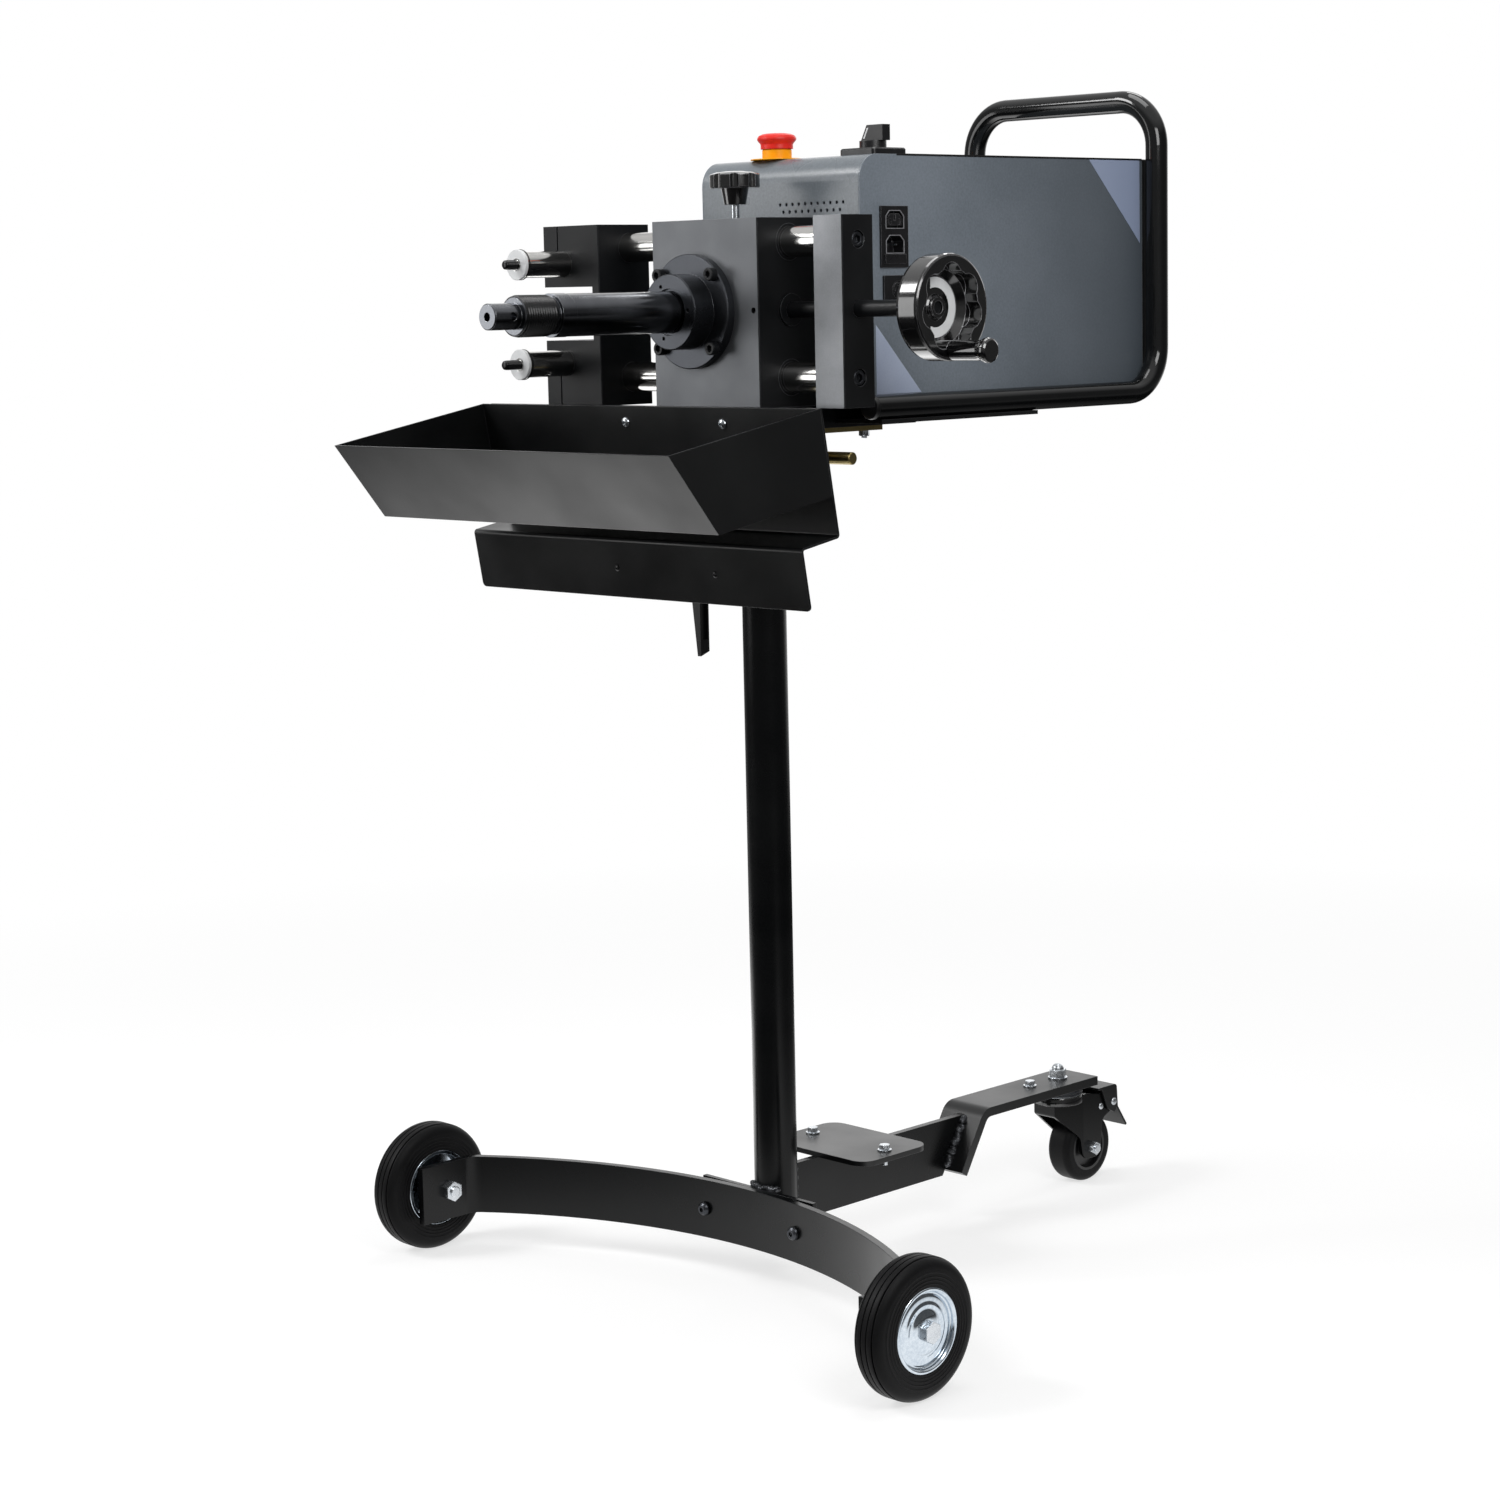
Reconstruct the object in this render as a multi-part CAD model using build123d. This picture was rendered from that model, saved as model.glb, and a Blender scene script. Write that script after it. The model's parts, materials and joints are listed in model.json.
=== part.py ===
from build123d import *
import os
from math import atan2, cos, degrees, radians, sin, sqrt, tan

# Brake lathe on a wheeled trolley, in millimetres. The pieces are drawn with the mast on X 0 and Y 0 and
# the floor at Z 0: X runs to the right along the guide rods, Y to the rear and Z up. The last lines move
# the whole object along Y, so that the origin is on the floor in the middle of the object.

# Clearances
running_fit = 0.05
seat_gap = 0.1
free_gap = 0.3

# Front wheels
wheel_diameter = 137
wheel_width = 34
wheel_track = 714
axle_forward = 176
axle_diameter = 12
axle_hex = 19
axle_head_height = 7.5
axle_spacer_diameter = 18
rim_diameter = 82
rim_hub_diameter = 25
rim_bead = 4.5
rim_step_diameter = 44
rim_dome_diameter = 22
tyre_shoulder = 11
tyre_groove_depth = 1.4
tyre_groove_width = 1.6
tyre_groove_spacing = 6.5

# Front bar, joint plate and bolts
bar_height = 62
bar_thickness = 8
bar_bow_radius = 531
bar_bend_radius = 18
tab_spacing = 644
tab_length = 37
joint_plate_width = 162
joint_plate_thickness = 5.5
bar_bolt_spacing = 132
bar_bolt_diameter = 8
bar_bolt_hex = 13
bar_bolt_nut = 6
bar_bolt_head_diameter = 14.5
bar_bolt_head = 5
bar_bolt_socket = 5
bar_bolt_socket_depth = 2.6

# Mast, collar and clamp lever
mast_diameter = 45
mast_wall = 3
mast_top = 745
collar_diameter = 58
collar_height = 44
clamp_drop = 10
clamp_screw_diameter = 12
clamp_boss_diameter = 26
clamp_boss_reach = 66
lever_hub_start = 84
lever_hub_length = 18
lever_hub_diameter = 24
lever_length = 88
lever_setback = 4.5
lever_root_thickness = 15.5
lever_tip_thickness = 5
lever_width = 12.2
lever_bevel = 4.5
lever_foot = 17
lever_recess = 3
lever_recess_wall = 2

# Inner post, swivel yoke and pivot pin
post_wall = 3
post_bottom = 330
yoke_skirt = 65.8
post_ring_diameter = 56
post_ring_height = 14
yoke_wall = 6.5
yoke_cap = 6
pivot_rise = 24
pivot_boss_diameter = 32
pivot_boss_length = 92
pin_diameter = 12.5
pin_left = 75
pin_right = 128.5

# Rear beam, accessory plate and bolts
beam_height = 62
beam_thickness = 8
beam_rise = 16.9
beam_reach = 290
beam_end_angle = 31
accessory_width = 144
accessory_depth = 102
accessory_thickness = 5.5
accessory_front = 58
accessory_corner = 18
accessory_bolt_spacing = 106
small_bolt_diameter = 6
small_bolt_hex = 10
small_bolt_head = 5
small_washer_diameter = 15
small_washer_height = 1.5
accessory_bolt_length = 17

# Caster and its bracket
bracket_width = 57
bracket_thickness = 10
bracket_overhang = 36.5
bracket_drop = 1.2
bracket_leg_rise = 6.6
bracket_bend_radius = 10
bracket_bolt_lead = 48.5
stem_y = 453.5
stem_diameter = 12
stem_hex = 17
stem_nut_height = 9
stem_washer_diameter = 22
stem_washer_height = 2
race_diameter = 54
race_height = 7
crown_height = 10
caster_trail = 36.5
caster_diameter = 80
caster_width = 30
caster_hub_diameter = 54
caster_axle_diameter = 10
caster_axle_hex = 13
caster_nut_height = 7
fork_plate = 3
fork_side_gap = 1.5
fork_taper = 4.5
fork_skirt = 18
pedal_sheet = 2.5
pedal_hinge_reach = 67.5
pedal_hinge_drop = 28.2
pedal_toe_reach = 95.6
pedal_toe_drop = 58.2
pedal_ear_gap = 1
pedal_wing_reach = 44.5
pedal_wing_drop = 7.2

# Head block and spindle
block_left = -75.2
block_right = 74.4
block_front = -72.6
block_rear = 28.4
mounting_thickness = 23
spindle_x = -15
spindle_diameter = 40.8
spindle_collar_diameter = 41.6
spindle_collar_width = 18
thread_diameter = 38
thread_start = 193
thread_length = 41.3
thread_relief_diameter = 36
thread_relief_width = 3
nose_diameter = 25
nose_length = 32.2
nose_hole_diameter = 8.5
nose_hole_depth = 12
cross_hole_diameter = 8
cross_hole_offset = 10
drive_end_diameter = 30
drive_end_length = 60
bearing_diameter = 72
bearing_width = 17
flange_diameter = 112.7
flange_thickness = 9.5
boss_diameter = 74
boss_reach = 35.5
seal_diameter = 46
seal_depth = 3
pin_hole_diameter = 4
pin_hole_circle = 54
pin_hole_depth = 8
pin_hole_angles = (3, 114, 252)
set_screw_inset = 6.9
set_screw_diameter = 6

# Slide: guide rods, lead screw, end plate and tool block
rod_diameter = 30
rod_y = -28.7
rod_spacing = 131.5
rod_cover_below = 10.75
rod_cover_above = 5.55
rod_grip = 32.7
bush_wall = 3
bush_length = 25
screw_diameter = 16
screw_collar_diameter = 22
screw_collar_length = 5
screw_seat = 40.4
screw_bush_diameter = 32
screw_bush_proud = 2.4
screw_stub_diameter = 12
plate_left = 128.5
plate_thickness = 38.9
plate_before_rods = 22.3
plate_behind_rods = 20.8
plate_wall = 17.4
counterbore_diameter = 17
counterbore_depth = 10
rod_screw_diameter = 10
nut_diameter = 26
nut_length = 31.5
tool_right = -157.3
tool_width = 85
tool_setback = 0.4
tool_behind_rods = 27.1
throat_below = 27.5
throat_above = 27.2
throat_wall = 10.4
tool_post_inset = 30
tool_post_spacing = 101
tool_post_diameter = 27
tool_post_reach = 62.8
tool_post_tail = 25
tool_disc_diameter = 31
tool_disc_thickness = 3
tool_recess_diameter = 12.5
tool_recess_depth = 3
stud_root_diameter = 10
stud_diameter = 9
upper_stud_reach = 78.7
lower_stud_reach = 83.2
slit_inset = 22.3
slit_width = 2

# Lock knob
knob_stud_diameter = 6.8
knob_hub_diameter = 27.6
knob_hub_height = 16.3
knob_stand = 14.5
knob_head_diameter = 50.4
knob_head_height = 16.6
knob_crown = 3
knob_lobes = 8
knob_notch_diameter = 9

# Handwheel and crank
handwheel_diameter = 100
handwheel_back = 258
handwheel_depth = 29.5
handwheel_rim = 14.2
handwheel_face = 7.5
hub_face_diameter = 57
hub_boss_diameter = 30
hub_boss_length = 12
hub_cap_diameter = 21.4
hub_cap_height = 4.3
finger_pockets = 7
finger_pocket_diameter = 26
finger_pocket_floor = 14.5
finger_pocket_wall = 8.5
crank_radius = 40
crank_boss_diameter = 19
crank_pin_diameter = 8
crank_length = 47.6
crank_shank_diameter = 19
crank_end_diameter = 23.6
crank_pin_depth = 30

# Housing
housing_left = -107.2
housing_right = 115.7
housing_rear = 467
housing_rise = 60.5
panel_gap = 7.5
housing_bend = 25
sheet = 1.5
rear_sheet = 2
floor_flange = 24
standoff_diameter = 16
standoff_inset = 20
standoff_y = (70, 240)
vent_diameter = 3.4
vent_pitch = 8.75
vent_columns = 11
vent_left = 5.5
vent_drop = 46.3
vent_row_gap = 7.3
front_opening_diameter = 84

# Gear motor
gearbox_width = 130
gearbox_height = 124
gearbox_depth = 96
motor_diameter = 124
motor_length = 210
motor_foot_width = 60
motor_foot_length = 100
terminal_width = 70
terminal_length = 90
terminal_height = 36

# Controls and sockets
estop_x = -30
estop_setback = 32.4
estop_collar_diameter = 30
estop_collar_height = 10.7
estop_thread_diameter = 22
estop_head_diameter = 40
estop_head_height = 16
estop_travel = 5
estop_skirt_wall = 1.2
estop_stem_diameter = 16
estop_block_side = 28
estop_block_depth = 42
switch_inset = 28.7
switch_setback = 50.4
switch_side = 48
switch_plate_height = 6.7
switch_body_side = 44
switch_body_depth = 40
switch_neck_diameter = 24
switch_shaft_diameter = 10
switch_dial_diameter = 27
switch_dial_height = 7
switch_grip_length = 29.5
switch_grip_shift = 3.5
switch_grip_width = 11
switch_grip_height = 15.5
switch_grip_slope = 8
module_setback = 46.9
module_width = 39
module_drop = 110.8
module_height = 60.2
module_flange = 2.5
module_body_depth = 40
module_body_inset = 2
inlet_width = 24.6
inlet_height = 16.4
inlet_depth = 14
inlet_rise = 22.7
outlet_rise = 46.9
inlet_corner = 5
outlet_groove = 2.5
outlet_groove_depth = 8
outlet_slot_width = 2.2
outlet_slot_length = 5.5
outlet_slot_spacing = 13
drawer_width = 30
drawer_height = 9
drawer_depth = 24
drawer_rise = 8.4
drawer_proud = 1.5
socket_setback = 50.8
socket_drop = 21.5
socket_plate_width = 40
socket_plate_height = 27.8
socket_plate_thickness = 2.5
socket_face_diameter = 17
socket_groove = 1.6
socket_pin_diameter = 2
socket_pin_circle = 9.4
socket_pin_angles = (90, 180, 270)

# Plates under the head and the tube frame
mounting_front = -60
mounting_rear = 150
mounting_rise = 28
pivot_plate_thickness = 5
pivot_plate_front = -62
pivot_plate_rear = 100
ear_thickness = 5
ear_width = 44
ear_gap = 2
base_width = 274
base_front = 33
base_rear = 268
base_rise = 4.5
base_thickness = 4
tube_diameter = 24
tube_wall = 2
rail_spacing = 259
rail_front = 27
hoop_setback = 7.8
hoop_rise = 62.1
tube_bend_radius = 48

# Chip tray, apron and their bracket
tray_angle = 10
tray_rim_lead = 3
tray_rim_rise = 1
tray_left = -344.3
tray_right = 158.7
tray_depth = 201.9
tray_height = 86
tray_front_rake = 47.3
tray_sheet = 1.5
apron_inset = 12.4
apron_back = 125.2
apron_flange = 51.4
apron_lip = 62
apron_sheet = 2
apron_corner = 5
tray_bracket_left = -140
tray_bracket_right = 45

# Places worked out from the driving dimensions, from the floor up
axle_y = -axle_forward
axle_height = wheel_diameter / 2
wheel_x = wheel_track / 2
bar_bottom = axle_height - bar_height / 2
bar_front = -(mast_diameter / 2 + seat_gap + joint_plate_thickness + seat_gap + bar_thickness)
beam_bottom = bar_bottom + beam_rise
beam_top = beam_bottom + beam_height
bracket_bottom = beam_top - bracket_drop
bracket_leg_foot = beam_bottom + bracket_leg_rise
bracket_rear = stem_y + bracket_overhang
bracket_bolt_y = stem_y - bracket_bolt_lead
caster_y = stem_y + caster_trail
pedal_hinge_y = stem_y + pedal_hinge_reach
pedal_toe_y = stem_y + pedal_toe_reach
pedal_wing_front = stem_y + pedal_wing_reach
pedal_hinge_height = bracket_bottom - pedal_hinge_drop
pedal_toe_height = bracket_bottom - pedal_toe_drop
pedal_wing_height = bracket_bottom - pedal_wing_drop
clamp_height = mast_top - clamp_drop
collar_top = clamp_height + collar_height / 2 - 5
inner_post_radius = mast_diameter / 2 - mast_wall - running_fit
post_top = collar_top + seat_gap + post_ring_height + seat_gap + yoke_skirt
pivot_height = post_top + pivot_rise
mounting_bottom = pivot_height + mounting_rise
head_bottom = mounting_bottom + mounting_thickness
rod_seat = rod_spacing / 2 + rod_diameter / 2 + bush_wall
spindle_height = head_bottom + rod_cover_below + rod_seat
head_top = spindle_height + rod_seat + rod_cover_above
rod_heights = (spindle_height - rod_spacing / 2, spindle_height + rod_spacing / 2)
post_heights = (spindle_height - tool_post_spacing / 2, spindle_height + tool_post_spacing / 2)
throat_bottom = spindle_height - throat_below
throat_top = spindle_height + throat_above
housing_top = head_top + housing_rise
panel_bottom = head_bottom + panel_gap
vent_upper_height = housing_top - vent_drop
module_bottom = housing_top - module_drop
inlet_centre = module_bottom + inlet_rise
outlet_centre = module_bottom + outlet_rise
drawer_centre = module_bottom + drawer_rise
socket_height = module_bottom - socket_drop
base_bottom = mounting_bottom + base_rise
rail_height = base_bottom + base_thickness + tube_diameter / 2
hoop_height = housing_top + hoop_rise
tray_rim_height = head_bottom + tray_rim_rise

# Places along the guide rods and from front to rear
thread_end = thread_start + thread_length
nose_reach = thread_end + nose_length
cross_hole_reach = thread_end + cross_hole_offset
collar_end = thread_start - thread_relief_width
spindle_collar_start = collar_end - spindle_collar_width
set_screw_x = block_right - set_screw_inset
screw_inner_end = block_right - screw_seat
plate_right = plate_left + plate_thickness
plate_reach = plate_right - plate_wall
plate_front = rod_y - plate_before_rods
plate_rear = rod_y + plate_behind_rods
tool_left = tool_right - tool_width
tool_front = block_front + tool_setback
tool_rear = rod_y + tool_behind_rods
tool_post_x = tool_left + tool_post_inset
throat_end = tool_right - throat_wall
slit_x = tool_left + slit_inset
rod_left = tool_right - rod_grip
handwheel_front = handwheel_back + handwheel_depth
housing_front = block_rear + 2 * seat_gap
hoop_y = housing_rear + hoop_setback
estop_y = housing_front + estop_setback
switch_x = housing_right - switch_inset
switch_y = housing_front + switch_setback
module_y = housing_front + module_setback
socket_y = housing_front + socket_setback
tray_rim_y = block_front - tray_rim_lead
apron_left = tray_left + apron_inset

LEFT = (-1, 0, 0)
RIGHT = (1, 0, 0)
FRONT = (0, -1, 0)
REAR = (0, 1, 0)
UP = (0, 0, 1)
DOWN = (0, 0, -1)


def box_between(x_range, y_range, z_range):
    """Box from its low and high faces along X, Y and Z."""
    spans = (x_range, y_range, z_range)
    size = [high - low for low, high in spans]
    middle = [(high + low) / 2 for low, high in spans]
    return Pos(*middle) * Box(*size)


def rod(start, direction, length, diameter):
    """Round bar that starts at a point and runs along a direction."""
    bar = Cylinder(diameter / 2, length, align=(Align.CENTER, Align.CENTER, Align.MIN))
    return Plane(origin=start, z_dir=direction) * bar


def hexagon(start, direction, height, across_flats):
    """Hexagon head or nut that starts at a point and runs along a direction."""
    outline = RegularPolygon(across_flats / 2, 6, major_radius=False)
    return Plane(origin=start, z_dir=direction) * extrude(outline, height)


def turned(profile, start, direction):
    """Turned piece: the profile holds corners as (radius, distance along the axis)."""
    solid = revolve(Plane.XZ * Polygon(*profile), Axis.Z)
    return Plane(origin=start, z_dir=direction) * solid


def along_x(outline, x_low, x_high):
    """Outline drawn as (Y, Z) and carried along X."""
    return Pos(x_low, 0, 0) * extrude(Plane.YZ * outline, x_high - x_low, dir=RIGHT)


def bent_strip(points, thickness, inner_radius):
    """Outline of a bent flat strip. The points run along one face and the other face lies to their left."""
    ways = [Vector(*b) - Vector(*a) for a, b in zip(points, points[1:])]
    lefts = [Vector(-way.Y, way.X).normalized() for way in ways]
    before = [lefts[0]] + lefts
    after = lefts + [lefts[-1]]
    far_side = []
    near_radii = []
    far_radii = []
    for point, one, two in zip(points, before, after):
        far_side.append(Vector(*point) + (one + two) * (thickness / (1 + one.dot(two))))
        turn = one.cross(two).Z
        outer_radius = inner_radius + thickness
        near_radii.append(0 if abs(turn) < 1e-6 else outer_radius if turn > 0 else inner_radius)
        far_radii.append(0 if abs(turn) < 1e-6 else inner_radius if turn > 0 else outer_radius)
    corners = [Vector(*point) for point in points] + far_side[::-1]
    return make_face(FilletPolyline(*corners, radius=near_radii + far_radii[::-1], close=True))


def tray_point(forward, down):
    """Place (Y, Z) in the chip tray's leaning frame, from its rear rim."""
    lean = radians(tray_angle)
    y = tray_rim_y - forward * cos(lean) + down * sin(lean)
    z = tray_rim_height - forward * sin(lean) - down * cos(lean)
    return (y, z)


# Trolley


def front_bar():
    """Flat bar bowed to the rear, with both ends bent forward into wheel tabs."""
    half = bar_thickness / 2
    bend = bar_bend_radius + half
    bow = bar_bow_radius + half
    tab_x = tab_spacing / 2 + half
    bow_y = bar_front - bar_bow_radius
    bend_x = tab_x - bend
    rise = sqrt((bow - bend) ** 2 - bend_x**2)
    bend_y = bow_y + rise
    swing = degrees(atan2(rise, bend_x))
    tab_front = axle_y - tab_length
    edges = []
    for offset in (-half, half):
        x = tab_x + offset
        edges.append(Line((x, tab_front), (x, bend_y)))
        edges.append(CenterArc((bend_x, bend_y), bend + offset, 0, swing))
        edges.append(CenterArc((0, bow_y), bow + offset, swing, 180 - 2 * swing))
        edges.append(CenterArc((-bend_x, bend_y), bend + offset, 180 - swing, swing))
        edges.append(Line((-x, bend_y), (-x, tab_front)))
    for side in (-1, 1):
        edges.append(Line((side * (tab_x - half), tab_front), (side * (tab_x + half), tab_front)))
    bar = Pos(0, 0, bar_bottom) * extrude(make_face(edges), bar_height, dir=UP)
    hole_length = 2 * (tab_x + bar_thickness)
    hole_start = (-hole_length / 2, axle_y, axle_height)
    bar -= rod(hole_start, RIGHT, hole_length, axle_diameter + 2 * seat_gap)
    for side in (-1, 1):
        bolt_start = (side * bar_bolt_spacing / 2, bar_front - bar_thickness, axle_height)
        bar -= rod(bolt_start, REAR, 3 * bar_thickness, bar_bolt_diameter + 2 * seat_gap)
    return bar


def joint_plate():
    """Flat plate on the mast's foot, which the bowed bar is bolted to."""
    rear = -(mast_diameter / 2 + seat_gap)
    half = joint_plate_width / 2
    z_range = (bar_bottom, bar_bottom + bar_height)
    plate = box_between((-half, half), (rear - joint_plate_thickness, rear), z_range)
    for side in (-1, 1):
        start = (side * bar_bolt_spacing / 2, bar_front, axle_height)
        plate -= rod(start, REAR, -2 * bar_front, bar_bolt_diameter + 2 * seat_gap)
    return plate


def bar_bolts():
    """Two button head screws through the bowed bar and the joint plate, with nuts behind it."""
    bolts = Part()
    x = bar_bolt_spacing / 2
    radius = bar_bolt_head_diameter / 2
    sag = bar_bow_radius - sqrt(bar_bow_radius**2 - (x - radius) ** 2)
    head_rear = bar_front - sag - seat_gap - bar_bolt_head_diameter * x / bar_bow_radius
    nut_front = -mast_diameter / 2
    dome = [(0, 0), (radius, 0), (radius, bar_bolt_head * 0.3), (radius * 0.9, bar_bolt_head * 0.65)]
    dome += [(radius * 0.62, bar_bolt_head), (0, bar_bolt_head)]
    for side in (-1, 1):
        start = (side * x, head_rear, axle_height)
        socket_start = (side * x, head_rear - bar_bolt_head, axle_height)
        bolt = turned(dome, start, FRONT)
        bolt -= hexagon(socket_start, REAR, bar_bolt_socket_depth, bar_bolt_socket)
        bolt += rod(start, REAR, nut_front - head_rear + 2 * bar_bolt_nut, bar_bolt_diameter)
        bolt += hexagon((side * x, nut_front, axle_height), REAR, bar_bolt_nut, bar_bolt_hex)
        bolts += bolt
    return bolts


def mast_tube():
    """Upright tube that guides the inner post, with a hole for the clamp screw."""
    radius = mast_diameter / 2
    bore = radius - mast_wall
    profile = [(bore, bar_bottom), (radius, bar_bottom), (radius, mast_top), (bore, mast_top)]
    tube = turned(profile, (0, 0, 0), UP)
    return tube - rod((0, 0, clamp_height), LEFT, mast_diameter, clamp_screw_diameter + 2 * free_gap)


def mast_collar():
    """Collar on top of the mast with a boss for the clamp screw."""
    radius = collar_diameter / 2
    seat = mast_diameter / 2 + seat_gap
    bore = inner_post_radius + running_fit
    bottom = collar_top - collar_height
    shoulder = mast_top + seat_gap
    profile = [(seat, bottom), (radius, bottom), (radius, collar_top), (bore, collar_top), (bore, shoulder)]
    profile.append((seat, shoulder))
    collar = turned(profile, (0, 0, 0), UP)
    boss = rod((0, 0, clamp_height), LEFT, clamp_boss_reach, clamp_boss_diameter)
    boss -= rod((0, 0, bottom), UP, collar_height + clamp_boss_diameter, 2 * seat)
    hole_diameter = clamp_screw_diameter + 2 * running_fit
    return collar + boss - rod((0, 0, clamp_height), LEFT, 2 * clamp_boss_reach, hole_diameter)


def rear_beam():
    """Flat bar on edge behind the mast, cut off at a slant where the caster bracket is welded on."""
    slant = beam_height * tan(radians(beam_end_angle))
    corners = [(0, beam_bottom), (beam_reach - slant, beam_bottom), (beam_reach, beam_top), (0, beam_top)]
    beam = along_x(Polygon(*corners), -beam_thickness / 2, beam_thickness / 2)
    return beam - rod((0, 0, 0), UP, mast_top, mast_diameter + 2 * seat_gap)


def accessory_plate():
    """Rounded plate on the beam with two bolt holes."""
    middle_y = accessory_front + accessory_depth / 2
    outline = RectangleRounded(accessory_width, accessory_depth, accessory_corner)
    plate = Pos(0, middle_y, beam_top) * extrude(outline, accessory_thickness)
    for side in (-1, 1):
        start = (side * accessory_bolt_spacing / 2, middle_y, 0)
        plate -= rod(start, UP, 2 * beam_top, small_bolt_diameter + 2 * seat_gap)
    return plate


def small_bolt(x, y, seat, length):
    """Hexagon bolt with a washer, standing on a seat and reaching down through it."""
    bolt = rod((x, y, seat), UP, small_washer_height, small_washer_diameter)
    bolt += hexagon((x, y, seat + small_washer_height), UP, small_bolt_head, small_bolt_hex)
    bolt += rod((x, y, seat + small_washer_height), DOWN, length, small_bolt_diameter)
    return bolt


def frame_bolts():
    """Two bolts in the accessory plate and one in the caster bracket."""
    middle_y = accessory_front + accessory_depth / 2
    plate_top = beam_top + accessory_thickness
    bolts = Part()
    for side in (-1, 1):
        bolts += small_bolt(side * accessory_bolt_spacing / 2, middle_y, plate_top, accessory_bolt_length)
    bolts += small_bolt(0, bracket_bolt_y, bracket_bottom + bracket_thickness, accessory_bolt_length)
    return bolts


def caster_bracket():
    """Flat bar bent down along the beam's slanted end and carried back over the caster."""
    slant = tan(radians(beam_end_angle))
    top = bracket_bottom + bracket_thickness
    corner = (beam_reach + (top - beam_top) * slant, top)
    foot = (beam_reach - (beam_top - bracket_leg_foot) * slant, bracket_leg_foot)
    outline = bent_strip([(bracket_rear, top), corner, foot], bracket_thickness, bracket_bend_radius)
    bracket = along_x(outline, -bracket_width / 2, bracket_width / 2)
    bracket -= rod((0, stem_y, 0), UP, 2 * top, stem_diameter + 2 * seat_gap)
    return bracket - rod((0, bracket_bolt_y, 0), UP, 2 * top, small_bolt_diameter + 2 * seat_gap)


def axle_bolts():
    """Two axle bolts, each with a nut inside the tab, a spacer outside it and a head on the rim's dome."""
    bolts = Part()
    tab_inner = tab_spacing / 2
    tab_outer = tab_inner + bar_thickness
    hub_inner = wheel_x - wheel_width / 2
    head_inner = wheel_x + wheel_width / 2 + free_gap
    for side in (-1, 1):
        way = (side, 0, 0)
        shaft_start = (side * (tab_inner - axle_head_height), axle_y, axle_height)
        shaft_length = head_inner + 2 * axle_head_height - tab_inner
        bolt = rod(shaft_start, way, shaft_length, axle_diameter)
        bolt += hexagon(shaft_start, way, axle_head_height, axle_hex)
        spacer_start = (side * tab_outer, axle_y, axle_height)
        bolt += rod(spacer_start, way, hub_inner - free_gap - tab_outer, axle_spacer_diameter)
        bolt += hexagon((side * head_inner, axle_y, axle_height), way, axle_head_height, axle_hex)
        bolts += bolt
    return bolts


def tyre(side):
    """Solid rubber tyre with rounded shoulders and grooves round the tread and side walls."""
    seat = rim_diameter / 2 + seat_gap
    outer = wheel_diameter / 2
    section = Pos((seat + outer) / 2, 0) * Rectangle(outer - seat, wheel_width)
    section = fillet(section.vertices().group_by(Axis.X)[-1], tyre_shoulder)
    wall_radius = seat + (outer - tyre_shoulder - seat) * 0.72
    tread_groove = Rectangle(2 * tyre_groove_depth, tyre_groove_width)
    wall_groove = Rectangle(tyre_groove_width, 2 * tyre_groove_depth)
    for mirror_side in (-1, 1):
        section -= Pos(outer, mirror_side * tyre_groove_spacing / 2) * tread_groove
        section -= Pos(outer - tyre_groove_depth, mirror_side * tyre_groove_spacing * 1.5) * tread_groove
        section -= Pos(wall_radius, mirror_side * wheel_width / 2) * wall_groove
    ring = revolve(Plane.XZ * section, Axis.Z)
    return Plane(origin=(side * wheel_x, axle_y, axle_height), z_dir=(side, 0, 0)) * ring


def rim(side):
    """Pressed steel rim: a rolled bead, a groove, a ring, a dome under the axle head, and a hub."""
    seat = rim_diameter / 2
    half = wheel_width / 2
    hub = rim_hub_diameter / 2
    dome = rim_dome_diameter / 2
    step = rim_step_diameter / 2
    bore = axle_diameter / 2 + running_fit
    bead = seat - rim_bead
    face = [(seat, half - 1), (seat - 1.2, half), (bead + 1, half), (bead, half - 1)]
    face += [(bead - 0.5, half - 4.5), (bead - 1.8, half - 5), (bead - 3, half - 4.2)]
    face += [(step + 4, half - 3.6), (step + 2, half - 2.6), (step, half - 3)]
    face += [(step - 3, half - 2.8), (dome + 4, half - 1.2), (dome + 1, half - 0.2)]
    face += [(dome, half), (bore, half)]
    back = [(bore, -half), (hub, -half), (hub, -half + 5), (hub + 3, -half + 9), (bead - 1, -half + 9)]
    back += [(bead, -half + 4), (bead, -half + 1), (seat - 1, -half), (seat, -half + 1)]
    return turned(face + back, (side * wheel_x, axle_y, axle_height), (side, 0, 0))


def caster_stem():
    """Fixed half of the swivel: stem with nut and washer above the bracket and a race below it."""
    top = bracket_bottom + bracket_thickness
    crown_bottom = bracket_bottom - race_height - free_gap - crown_height
    rivet = 4
    stem_bottom = crown_bottom - free_gap - rivet
    nut_top = top + stem_washer_height + stem_nut_height
    stem = rod((0, stem_y, stem_bottom), UP, nut_top + rivet - stem_bottom, stem_diameter)
    stem += rod((0, stem_y, stem_bottom), UP, rivet, 1.6 * stem_diameter)
    stem += rod((0, stem_y, bracket_bottom - race_height), UP, race_height, race_diameter)
    stem += rod((0, stem_y, top), UP, stem_washer_height, stem_washer_diameter)
    return stem + hexagon((0, stem_y, top + stem_washer_height), UP, stem_nut_height, stem_hex)


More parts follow.
